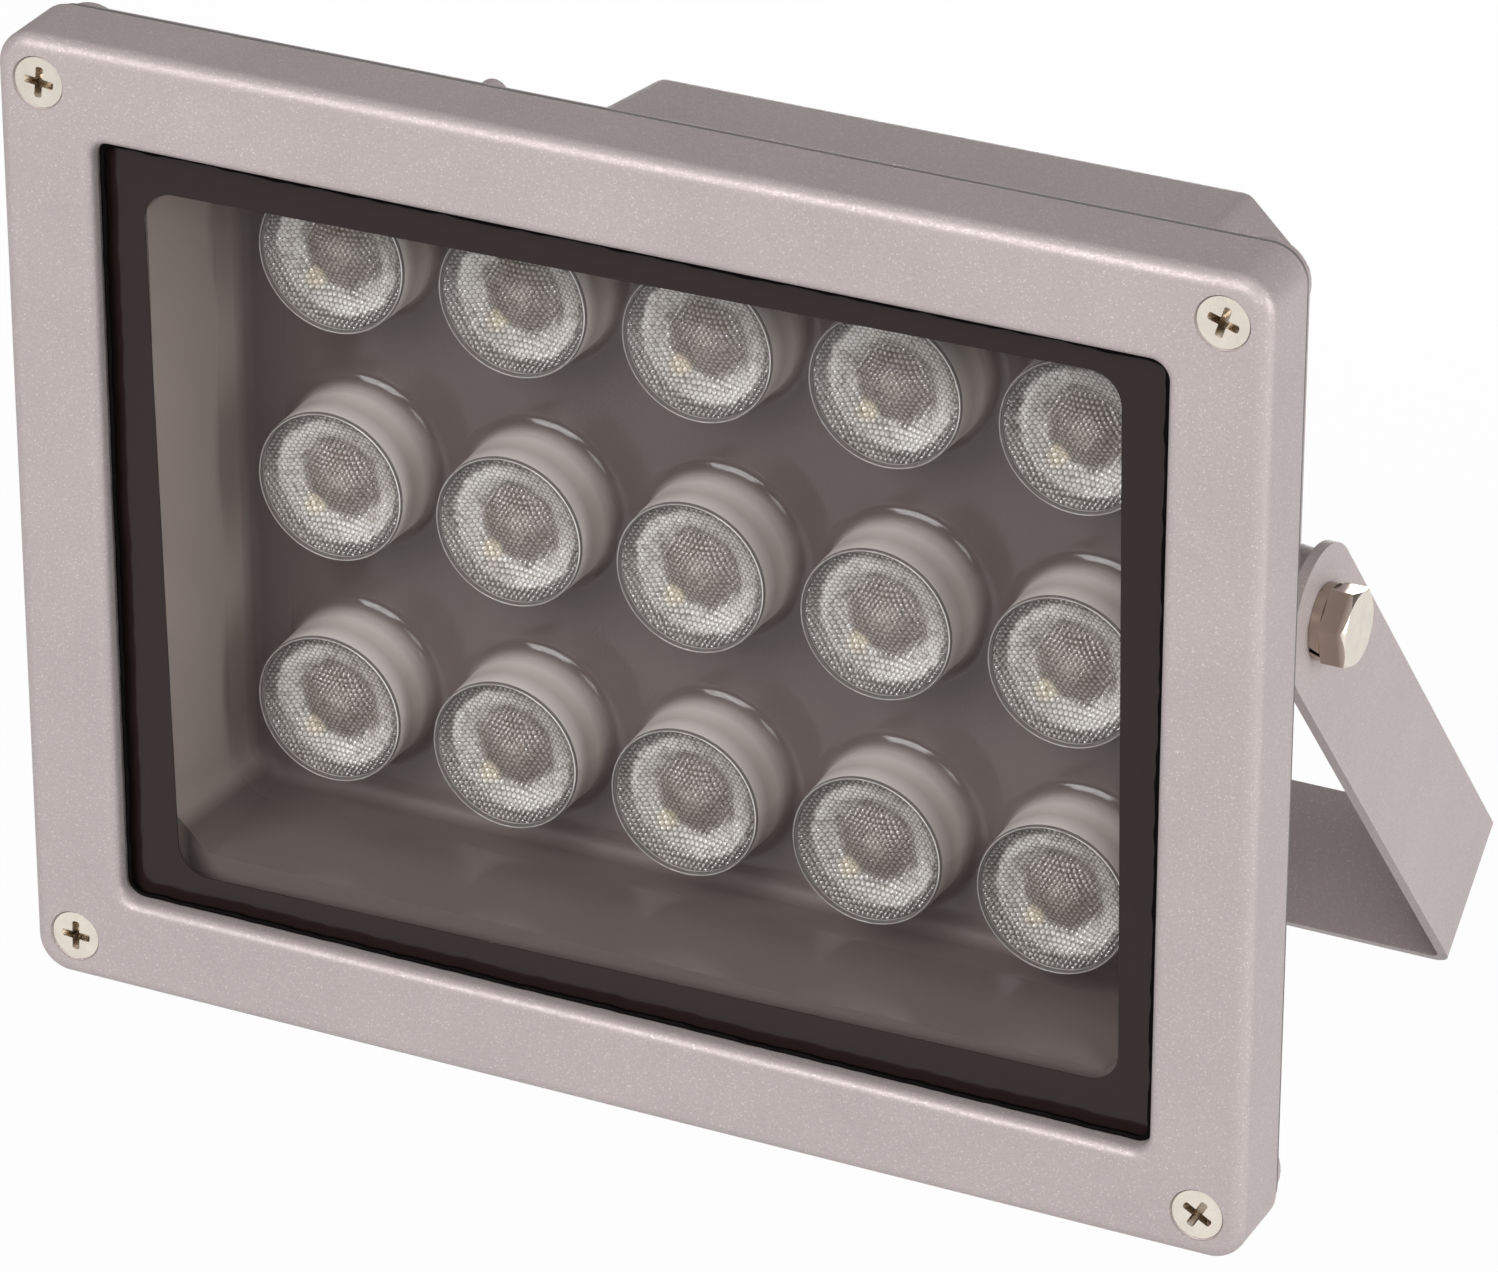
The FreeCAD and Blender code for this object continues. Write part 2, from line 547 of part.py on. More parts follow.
def rear_housing():
    """Cast housing: flange, tub, driver box, fins, side bosses and cable pad in one piece."""
    flange_w = FRAME_W - 2 * FLANGE_INSET
    flange_h = FRAME_H - 2 * FLANGE_INSET
    flange = [slab(flange_w, flange_h, FRAME_CORNER, FLANGE_Y, FLANGE_REAR_Y)]
    flange += [rod(CORNER_PAD_R, place + ALONG_Y * FLANGE_Y, ALONG_Y, FLANGE_THICK) for place in frame_screw_places()]
    flange.append(rod(GATE_LUG_R, Vector(GATE_LUG_X, FLANGE_Y, flange_h / 2 + GATE_LUG_PROUD - GATE_LUG_R),
                      ALONG_Y, FLANGE_THICK))
    flange = fused(flange)
    flange = flange.makeFillet(FLANGE_REAR_ROUND, edges_in_plane(flange, FLANGE_REAR_Y))
    box = Part.makeLoft([box_outline(TUB_STRAIGHT_TO), box_outline(BOX_REAR_Y)], True, True)
    box = box.makeFillet(BOX_EDGE_ROUND, edges_along_depth(box) + edges_in_plane(box, BOX_REAR_Y))
    tub = tub_shape(0.0, FLANGE_Y, TUB_REAR_Y)
    outside = [flange, tub, box]
    for place in frame_screw_places():
        outside.append(rod(CORNER_BOSS_R, place + ALONG_Y * FLANGE_Y, ALONG_Y, CORNER_BOSS_LENGTH))
    wall_mid_x = BOX_REAR_W / 2 + (BOX_REAR_Y - PIVOT_Y) * BOX_DRAFT_X - BOX_WALL * 0.5
    for side in (-1, 1):
        root = Vector(side * wall_mid_x, PIVOT_Y, 0)
        outside.append(taper(SIDE_BOSS_ROOT_R, SIDE_BOSS_R, root, ALONG_X * side, BOSS_FACE_X - wall_mid_x))
    gland_wall_z = -(BOX_REAR_H / 2 + (BOX_REAR_Y - GLAND_Y) * BOX_DRAFT_Z - BOX_WALL * 0.5)
    pad_start = Vector(0, GLAND_Y, gland_wall_z)
    outside.append(rod(GLAND_PAD_R, pad_start, -ALONG_Z, gland_wall_z - GLAND_PAD_Z))
    for number in range(FIN_COUNT):
        outside.append(cooling_fin((number - (FIN_COUNT - 1) / 2) * FIN_PITCH))
    for place in board_screw_places():
        start = place + ALONG_Y * (TUB_REAR_Y - BOARD_Y - 1)
        outside.append(rod(SHELF_BOSS_R, start, ALONG_Y, SHELF_BOSS_LENGTH + 1))
    body = fused(outside)
    chamber_y = BOX_REAR_Y - BOX_WALL
    chamber = Part.makeLoft([box_outline(SHELF_Y - 2, BOX_WALL), box_outline(chamber_y, BOX_WALL)], True, True)
    body = body.cut(fused([tub_shape(TUB_WALL, FLANGE_Y - 1, SHELF_Y), chamber]))
    inside = [rod(GLAND_PAD_R, Vector(0, GLAND_Y, GLAND_SEAT_Z), -ALONG_Z, GLAND_SEAT_Z - gland_wall_z)]
    post_bottom = -(BOX_REAR_H / 2 - BOX_WALL * 0.5)
    for place in driver_screw_places():
        start = Vector(place.x, place.y, post_bottom - (BOX_REAR_Y - place.y) * BOX_DRAFT_Z)
        inside.append(rod(POST_R, start, ALONG_Z, DRIVER_Z - start.z))
    body = fused([body] + inside)
    for place in frame_screw_places():
        body = body.cut(rod(SCREW_R + THREAD_CLEARANCE, place + ALONG_Y * (FLANGE_Y - 1), ALONG_Y,
                            CORNER_BOSS_LENGTH + 2))
    for side in (-1, 1):
        mouth = Vector(side * (BOSS_FACE_X + 1), PIVOT_Y, 0)
        body = body.cut(rod(BOLT_R + THREAD_CLEARANCE, mouth, -ALONG_X * side, SIDE_BOSS_HOLE + 1))
    for place in board_screw_places():
        depth = SMALL_SCREW_LENGTH - BOARD_THICK + 0.4
        body = body.cut(rod(SMALL_SCREW_R + THREAD_CLEARANCE, place + ALONG_Y * BOARD_THICK, ALONG_Y, depth))
    for place in driver_screw_places():
        depth = SMALL_SCREW_LENGTH
        body = body.cut(rod(SMALL_SCREW_R + THREAD_CLEARANCE, place, -ALONG_Z, depth))
    through = Vector(0, GLAND_Y, GLAND_SEAT_Z + 1)
    return body.cut(rod(GLAND_THREAD_R + THREAD_CLEARANCE, through, -ALONG_Z, GLAND_SEAT_Z - GLAND_PAD_Z + 2))


def socket_ring(centre):
    """One upright lens socket with a seat inside its rim and a round foot on the floor."""
    inner = SOCKET_R - LENS_SEAT_WIDTH
    seat_y = SOCKET_RIM_Y + SOCKET_SEAT
    rim_r = SOCKET_R + SOCKET_WALL
    foot_r = rim_r + SOCKET_DRAFT
    bend_y = TRAY_FLOOR_Y - SOCKET_ROUND
    reach = foot_r + SOCKET_ROUND
    slant = SOCKET_ROUND * (1 - math.sqrt(0.5))
    rear_y = TRAY_FLOOR_Y + TRAY_FLOOR_THICK
    outline = [
        [(inner, rear_y), (inner, seat_y)],
        [(inner, seat_y), (SOCKET_R, seat_y)],
        [(SOCKET_R, seat_y), (SOCKET_R, SOCKET_RIM_Y)],
        [(SOCKET_R, SOCKET_RIM_Y), (rim_r, SOCKET_RIM_Y)],
        [(rim_r, SOCKET_RIM_Y), (foot_r, bend_y)],
        [(foot_r, bend_y), (foot_r + slant, TRAY_FLOOR_Y - slant), (reach, TRAY_FLOOR_Y)],
        [(reach, TRAY_FLOOR_Y), (reach, rear_y)],
        [(reach, rear_y), (inner, rear_y)],
    ]
    return turned(outline, centre)


def lens_tray():
    """Moulded tray with flared walls, slanted corner facets, a round floor edge and 15 sockets."""
    floor_back_y = TRAY_FLOOR_Y + TRAY_FLOOR_THICK
    front_w = TRAY_FLOOR_W + 2 * TRAY_FLARE
    front_h = TRAY_FLOOR_H + 2 * TRAY_FLARE
    grow = 2 * TRAY_WALL
    shell = Part.makeLoft([
        chamfered_outline(front_w + grow, front_h + grow, TRAY_FRONT_CHAMFER, TRAY_FRONT_Y),
        chamfered_outline(TRAY_FLOOR_W + grow, TRAY_FLOOR_H + grow, TRAY_FLOOR_CHAMFER, floor_back_y),
    ], True, True)
    hollow = Part.makeLoft([
        chamfered_outline(front_w, front_h, TRAY_FRONT_CHAMFER, TRAY_FRONT_Y),
        chamfered_outline(TRAY_FLOOR_W, TRAY_FLOOR_H, TRAY_FLOOR_CHAMFER, TRAY_FLOOR_Y),
    ], True, True)
    hollow = hollow.makeFillet(TRAY_ROUND, edges_along_depth(hollow) + edges_in_plane(hollow, TRAY_FLOOR_Y))
    tray = shell.cut(hollow)
    sockets = [module_point(centre.x, 0, centre.z) for _, _, centre in grid_places()]
    for centre in sockets:
        tray = tray.cut(rod(SOCKET_R, centre + ALONG_Y * (TRAY_FLOOR_Y - 1), ALONG_Y, TRAY_FLOOR_THICK + 2))
    pieces = [tray] + [socket_ring(centre) for centre in sockets]
    for column in range(COLUMNS - 1):
        for row in range(ROWS - 1):
            x = (column - (COLUMNS - 2) / 2) * PITCH_X
            z = ((ROWS - 2) / 2 - row) * PITCH_Z
            start = module_point(x, floor_back_y - 0.5, z)
            pieces.append(rod(TRAY_PEG_R, start, ALONG_Y, BOARD_Y - start.y))
    return fused(pieces)


def lens(centre):
    """Collimating lens: front disc, tapered body that reflects inside, and a cup over the emitter."""
    back_y = LENS_Y + LENS_FLANGE
    foot_y = LENS_Y + LENS_HEIGHT
    cup_y = foot_y - LENS_CUP_DEPTH
    middle = ((LENS_NECK_R + LENS_FOOT_R) / 2 + 0.9, (back_y + foot_y) / 2)
    bulge_r = (LENS_CUP_R ** 2 + LENS_CUP_BULGE ** 2) / (2 * LENS_CUP_BULGE)
    half_way = math.asin(LENS_CUP_R / bulge_r) / 2
    bulge = (bulge_r * math.sin(half_way), cup_y + LENS_CUP_BULGE - bulge_r * (1 - math.cos(half_way)))
    outline = [
        [(0, LENS_Y), (LENS_R, LENS_Y)],
        [(LENS_R, LENS_Y), (LENS_R, back_y)],
        [(LENS_R, back_y), (LENS_NECK_R, back_y)],
        [(LENS_NECK_R, back_y), middle, (LENS_FOOT_R, foot_y)],
        [(LENS_FOOT_R, foot_y), (LENS_CUP_R, foot_y)],
        [(LENS_CUP_R, foot_y), (LENS_CUP_R, cup_y)],
        [(LENS_CUP_R, cup_y), bulge, (0, cup_y + LENS_CUP_BULGE)],
        [(0, cup_y + LENS_CUP_BULGE), (0, LENS_Y)],
    ]
    return module_place(turned(outline, centre))


def led(centre):
    """Emitter: square base on the board with a clear dome."""
    front_y = BOARD_Y - LED_BASE
    half = LED_SIDE / 2
    base = Part.makeBox(LED_SIDE, LED_BASE, LED_SIDE, centre + Vector(-half, front_y, -half))
    dome = Part.makeSphere(LED_DOME_R, centre + ALONG_Y * front_y)
    dome = dome.common(rod(LED_DOME_R + 1, centre + ALONG_Y * (front_y + 0.2), -ALONG_Y, LED_DOME_R + 1))
    return module_place(fused([base, dome]))


def led_board():
    """Aluminium board that carries the emitters and closes the driver box."""
    board = slab(BOARD_W, BOARD_H, BOARD_CORNER, BOARD_Y, BOARD_Y + BOARD_THICK)
    board = module_place(board)
    for place in board_screw_places():
        board = board.cut(rod(SMALL_SCREW_R + SMALL_HOLE_CLEARANCE, place - ALONG_Y, ALONG_Y, BOARD_THICK + 2))
    return board


def pan_screw(seat, direction):
    """Small round-head screw whose head stands on a seat and whose shank runs along direction."""
    head = rod(SMALL_HEAD_R, seat - direction * SMALL_HEAD_H, direction, SMALL_HEAD_H)
    head = head.makeFillet(SMALL_HEAD_H * 0.4, [edge for edge in head.Edges
                           if (edge.CenterOfMass - seat).dot(direction) < -SMALL_HEAD_H * 0.9])
    shank = rod(SMALL_SCREW_R, seat, direction, SMALL_SCREW_LENGTH - 0.4)
    return fused([head, shank])


def led_board_screws():
    """Screws of the emitter board, each a separate solid."""
    return Part.makeCompound([pan_screw(place, ALONG_Y) for place in board_screw_places()])


def driver_board():
    """Driver circuit board on four posts of the box."""
    corner = Vector(-DRIVER_W / 2, DRIVER_FRONT_Y, DRIVER_Z)
    board = Part.makeBox(DRIVER_W, DRIVER_L, DRIVER_THICK, corner)
    for place in driver_screw_places():
        board = board.cut(rod(SMALL_SCREW_R + SMALL_HOLE_CLEARANCE, place + ALONG_Z, -ALONG_Z, DRIVER_THICK + 2))
    return board


def driver_screws():
    """Screws of the driver board, each a separate solid."""
    return Part.makeCompound([pan_screw(place, -ALONG_Z) for place in driver_screw_places()])


def block_on_board(size, at):
    """Box that stands on the driver board, centred at an X and Y place."""
    length, depth, height = size
    corner = Vector(at[0] - length / 2, at[1] - depth / 2, DRIVER_Z + DRIVER_THICK)
    return Part.makeBox(length, depth, height, corner)


def driver_transformer():
    """Ferrite transformer: square-sided core with a winding window through it."""
    length, depth, height = TRANSFORMER
    core = block_on_board(TRANSFORMER, TRANSFORMER_AT)
    step = length * 0.2
    window = block_on_board((length - 2 * step, depth + 2, height * 0.5), TRANSFORMER_AT)
    window.translate(ALONG_Z * height * 0.25)
    winding = block_on_board((length - 2 * step, depth * 1.2, height * 0.5), TRANSFORMER_AT)
    winding.translate(ALONG_Z * height * 0.25)
    return fused([core.cut(window), winding])


def driver_capacitor():
    """Upright smoothing capacitor with the rolled groove of its can."""
    foot = Vector(CAPACITOR_AT[0], CAPACITOR_AT[1], DRIVER_Z + DRIVER_THICK)
    can = rod(CAPACITOR_R, foot, ALONG_Z, CAPACITOR_H)
    groove = Part.makeTorus(CAPACITOR_R + 0.3, 0.7, foot + ALONG_Z * CAPACITOR_H * 0.12, ALONG_Z)
    return can.cut(groove)


def driver_inductor():
    """Drum-core inductor."""
    foot = Vector(INDUCTOR_AT[0], INDUCTOR_AT[1], DRIVER_Z + DRIVER_THICK)
    waist = rod(INDUCTOR_R * 0.86, foot, ALONG_Z, INDUCTOR_H)
    rims = [rod(INDUCTOR_R, foot + ALONG_Z * level, ALONG_Z, INDUCTOR_H * 0.18)
            for level in (0, INDUCTOR_H * 0.82)]
    return fused([waist] + rims)


def terminal_block():
    """Supply terminal block with two wire entries and two screw wells."""
    length, depth, height = TERMINAL
    block = block_on_board(TERMINAL, TERMINAL_AT)
    base_z = DRIVER_Z + DRIVER_THICK
    for side in (-1, 1):
        x = TERMINAL_AT[0] + side * length / 4
        rear_y = TERMINAL_AT[1] + depth / 2
        block = block.cut(rod(length * 0.13, Vector(x, rear_y + 1, base_z + height * 0.35), -ALONG_Y, depth * 0.7))
        block = block.cut(rod(length * 0.12, Vector(x, TERMINAL_AT[1], base_z + height + 1), -ALONG_Z, height * 0.4))
    return block


def cable_gland():
    """Gland body and dome nut, with the bore that a cable would pass through."""
    hex_start = Vector(0, GLAND_Y, GLAND_PAD_Z)
    collar = hexagon_prism(GLAND_HEX_AF, hex_start, -ALONG_Z, GLAND_HEX_H)
    thread_length = GLAND_SEAT_Z - GLAND_PAD_Z + GLAND_NUT_H + 1
    thread = rod(GLAND_THREAD_R, hex_start, ALONG_Z, thread_length)
    dome_start = hex_start - ALONG_Z * GLAND_HEX_H
    straight = GLAND_DOME_H * 0.6
    skirt = rod(GLAND_DOME_R, dome_start, -ALONG_Z, straight)
    for step in range(12):
        angle = math.radians(30 * step)
        groove = dome_start + Vector(math.cos(angle), math.sin(angle), 0) * (GLAND_DOME_R + 0.5)
        skirt = skirt.cut(rod(1.2, groove, -ALONG_Z, straight))
    tip = taper(GLAND_DOME_R - 0.7, GLAND_BORE_R + 2.0, dome_start - ALONG_Z * straight, -ALONG_Z,
                GLAND_DOME_H - straight)
    body = fused([collar, thread, skirt, tip])
    top = hex_start + ALONG_Z * (thread_length + 1)
    body = body.cut(rod(GROMMET_R, top, -ALONG_Z, thread_length + 1 + GLAND_HEX_H + straight))
    return body.cut(rod(GLAND_BORE_R, top, -ALONG_Z, thread_length + GLAND_HEX_H + GLAND_DOME_H + 3))


def gland_grommet():
    """Rubber sleeve inside the gland."""
    end = Vector(0, GLAND_Y, GLAND_PAD_Z - GLAND_HEX_H - GLAND_DOME_H * 0.6)
    length = GLAND_DOME_H * 0.6 + GLAND_HEX_H
    return rod(GROMMET_R, end, ALONG_Z, length).cut(rod(GROMMET_BORE_R, end - ALONG_Z, ALONG_Z, length + 2))


def gland_nut():
    """Lock nut inside the box."""
    seat = Vector(0, GLAND_Y, GLAND_SEAT_Z)
    nut = hexagon_prism(GLAND_NUT_AF, seat, ALONG_Z, GLAND_NUT_H)
    return nut.cut(rod(GLAND_THREAD_R + THREAD_CLEARANCE, seat - ALONG_Z, ALONG_Z, GLAND_NUT_H + 2))


def bracket_profile(half_w, reach, bend):
    """Closed wire of a U seen from the front: open top, round bends, centred on the pivot."""
    low = -reach
    high = BRACKET_STRIP
    slant = bend * (1 - math.sqrt(0.5))
    left_arc = [Vector(-half_w, 0, low + bend), Vector(-half_w + slant, 0, low + slant),
                Vector(-half_w + bend, 0, low)]
    right_arc = [Vector(half_w - bend, 0, low), Vector(half_w - slant, 0, low + slant),
                 Vector(half_w, 0, low + bend)]
    edges = [
        Part.LineSegment(Vector(-half_w, 0, high), left_arc[0]).toShape(),
        Part.Arc(*left_arc).toShape(),
        Part.LineSegment(left_arc[2], right_arc[0]).toShape(),
        Part.Arc(*right_arc).toShape(),
        Part.LineSegment(right_arc[2], Vector(half_w, 0, high)).toShape(),
        Part.LineSegment(Vector(half_w, 0, high), Vector(-half_w, 0, high)).toShape(),
    ]
    return Part.Wire(edges)


def u_bracket():
    """Bracket folded from flat strip, with round arm ends, two pivot holes and three base holes."""
    half = BRACKET_STRIP / 2
    outer = Part.Face(bracket_profile(ARM_OUTER_X, BRACKET_REACH, BRACKET_BEND_R))
    inner = Part.Face(bracket_profile(ARM_INNER_X, BRACKET_REACH - BRACKET_THICK, BRACKET_BEND_R - BRACKET_THICK))
    strip = outer.cut(inner).extrude(ALONG_Y * BRACKET_STRIP)
    strip.translate(-ALONG_Y * half)
    side = Part.makeBox(BRACKET_W + 2, BRACKET_STRIP, BRACKET_REACH + 1,
                        Vector(-BRACKET_W / 2 - 1, -half, -BRACKET_REACH - 1))
    ends = rod(half, Vector(-BRACKET_W / 2 - 1, 0, 0), ALONG_X, BRACKET_W + 2)
    strip = strip.common(fused([side, ends]))
    strip = strip.cut(rod(BOLT_R + RUN_CLEARANCE, Vector(-BRACKET_W, 0, 0), ALONG_X, 2 * BRACKET_W))
    for x, radius in ((0, BASE_HOLE_R), (-BASE_SIDE_HOLE_X, BASE_SIDE_HOLE_R), (BASE_SIDE_HOLE_X, BASE_SIDE_HOLE_R)):
        strip = strip.cut(rod(radius, Vector(x, 0, -BRACKET_REACH - 1), ALONG_Z, BRACKET_THICK + 2))
    strip = strip.Solids[0]
    strip.rotate(Vector(0, 0, 0), ALONG_X, BRACKET_SWING)
    strip.translate(PIVOT)
    return strip


def bracket_bolt(side):
    """Hexagon bolt from outside the arm into the side boss."""
    seat = Vector(side * BOLT_HEAD_X, PIVOT_Y, 0)
    head = hexagon_prism(BOLT_HEAD_AF, seat, ALONG_X * side, BOLT_HEAD_H, BOLT_TURN)
    return fused([head, rod(BOLT_R, seat, -ALONG_X * side, BOLT_LENGTH)])


def spring_washer(side):
    """Split spring washer under the bolt head, squeezed flat."""
    start = Vector(side * SPRING_X, PIVOT_Y, 0)
    ring = rod(SPRING_R, start, ALONG_X * side, SPRING_THICK).cut(
        rod(BOLT_R + RUN_CLEARANCE, start - ALONG_X * side, ALONG_X * side, SPRING_THICK + 2))
    lean = SPRING_THICK * 0.5
    points = [Vector(-1, 0, -lean - SPRING_SPLIT), Vector(-1, 0, -lean),
              Vector(SPRING_THICK + 1, 0, lean + SPRING_SPLIT), Vector(SPRING_THICK + 1, 0, lean)]
    split = Part.Face(Part.makePolygon(points + points[:1])).extrude(ALONG_Y * SPRING_R * 1.5)
    split.rotate(Vector(0, 0, 0), ALONG_X, 180 + SPRING_SPLIT_TURN)
    if side < 0:
        split = split.mirror(Vector(0, 0, 0), ALONG_X)
    split.translate(start)
    return ring.cut(split)


def all_parts():
    """Every sub-part by name."""
    parts = {
        "bezel": bezel(),
        "bezel_screws": bezel_screws(),
        "front_glass": front_glass(),
        "glass_border_print": glass_border_print(),
        "glass_seal": glass_seal(),
        "housing_gasket": housing_gasket(),
        "rear_housing": rear_housing(),
        "lens_tray": lens_tray(),
        "led_board": led_board(),
        "led_board_screws": led_board_screws(),
        "driver_board": driver_board(),
        "driver_screws": driver_screws(),
        "driver_transformer": driver_transformer(),
        "driver_capacitor": driver_capacitor(),
        "driver_inductor": driver_inductor(),
        "terminal_block": terminal_block(),
        "cable_gland": cable_gland(),
        "gland_grommet": gland_grommet(),
        "gland_nut": gland_nut(),
        "u_bracket": u_bracket(),
    }
    for column, row, centre in grid_places():
        parts[f"lens_r{row}_c{column}"] = lens(centre)
        parts[f"led_r{row}_c{column}"] = led(centre)
    for side, word in ((-1, "left"), (1, "right")):
        parts[f"bracket_bolt_{word}"] = bracket_bolt(side)
        parts[f"spring_washer_{word}"] = spring_washer(side)
    return parts


def main():
    """Builds every sub-part, moves it to the mounting origin and writes one STEP file each."""
    os.makedirs("parts", exist_ok=True)
    for name, shape in all_parts().items():
        shape.translate(-MOUNT_POINT)
        shape.exportStep(f"parts/{name}.step")
        print(f"{name}: {len(shape.Solids)} solid(s), {shape.Volume:.1f} mm3, valid {shape.isValid()}")


main()
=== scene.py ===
import math
import random

import bmesh
import bpy
from mathutils import Euler, Matrix, Vector


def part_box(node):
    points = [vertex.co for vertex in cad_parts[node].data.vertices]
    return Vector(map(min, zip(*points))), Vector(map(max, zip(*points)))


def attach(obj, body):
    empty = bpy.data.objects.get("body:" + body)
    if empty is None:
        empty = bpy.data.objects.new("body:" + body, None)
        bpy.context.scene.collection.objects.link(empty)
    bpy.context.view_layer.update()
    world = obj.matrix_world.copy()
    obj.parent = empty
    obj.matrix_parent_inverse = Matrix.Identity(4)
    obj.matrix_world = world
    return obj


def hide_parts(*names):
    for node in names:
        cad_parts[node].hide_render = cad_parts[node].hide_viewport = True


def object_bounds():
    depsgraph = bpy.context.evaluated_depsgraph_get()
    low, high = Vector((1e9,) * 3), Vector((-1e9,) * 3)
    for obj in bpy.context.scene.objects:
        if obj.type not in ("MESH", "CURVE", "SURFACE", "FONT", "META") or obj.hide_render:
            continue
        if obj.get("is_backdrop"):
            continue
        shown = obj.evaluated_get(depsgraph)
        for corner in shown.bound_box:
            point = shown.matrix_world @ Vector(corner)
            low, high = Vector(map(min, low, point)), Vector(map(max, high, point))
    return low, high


bl_info = {
    "name": "Infrared lamp dressing",
    "version": (1, 0, 0),
    "blender": (4, 5, 0),
    "location": "3D View > Sidebar > Lamp",
    "description": "Dresses the lamp's frame with paint, glass, beaded lenses and a studio stage",
    "category": "Object",
}

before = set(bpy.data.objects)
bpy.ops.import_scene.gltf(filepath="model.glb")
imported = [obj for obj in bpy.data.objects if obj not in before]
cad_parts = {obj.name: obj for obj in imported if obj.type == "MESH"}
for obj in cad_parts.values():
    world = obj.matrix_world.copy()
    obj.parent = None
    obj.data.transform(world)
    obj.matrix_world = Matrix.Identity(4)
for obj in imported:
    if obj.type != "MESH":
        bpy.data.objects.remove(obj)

# The photograph's view: the camera stands to the right of the lamp and above it
CAMERA_PLACE = (0.42855, -0.95186, 0.56723)
CAMERA_TURN = (62.466, 0.006, 25.911)
CAMERA_LENS = 196.712
SENSOR_WIDTH = 36.0

# How the fifteen lenses are laid out
LENS_COLUMNS = 5
LENS_ROWS = 3
LENS_RADIUS = 0.0105
LENS_NODES = [f"lens_r{row + 1}_c{column + 1}" for row in range(LENS_ROWS) for column in range(LENS_COLUMNS)]
LED_NODES = [f"led_r{row + 1}_c{column + 1}" for row in range(LENS_ROWS) for column in range(LENS_COLUMNS)]


class LampSettings(bpy.types.PropertyGroup):
    """Sizes and colours that the dressing uses."""

    paint_color: bpy.props.FloatVectorProperty(
        name="Paint colour",
        description="Base colour of the silver paint",
        subtype="COLOR",
        size=3,
        default=(0.55, 0.476, 0.472),
    )
    paint_grain: bpy.props.FloatProperty(
        name="Paint grain",
        description="Size of one metallic flake in the paint",
        default=0.00017,
        unit="LENGTH",
    )
    bead_pitch: bpy.props.FloatProperty(
        name="Bead pitch",
        description="Distance between the moulded beads on a lens face",
        default=0.00072,
        unit="LENGTH",
    )
    bead_height: bpy.props.FloatProperty(
        name="Bead height",
        description="How far a bead stands out of the lens face",
        default=0.00013,
        unit="LENGTH",
    )
    silicone_seed: bpy.props.IntProperty(
        name="Silicone seed",
        description="Seed of the uneven edge of the silicone bead",
        default=7,
    )
    silicone_wander: bpy.props.FloatProperty(
        name="Silicone wander",
        description="How far the silicone bead's edge wanders",
        default=0.00016,
        unit="LENGTH",
    )
    floor_drop: bpy.props.FloatProperty(
        name="Floor drop",
        description="Height of the lamp above the studio floor",
        default=0.45,
        unit="LENGTH",
    )


def settings():
    """The scene's settings for the lamp."""
    return bpy.context.scene.lamp_settings


def require(found, message):
    """Stops with a plain message if something is missing."""
    if not found:
        raise RuntimeError(message)
    return found


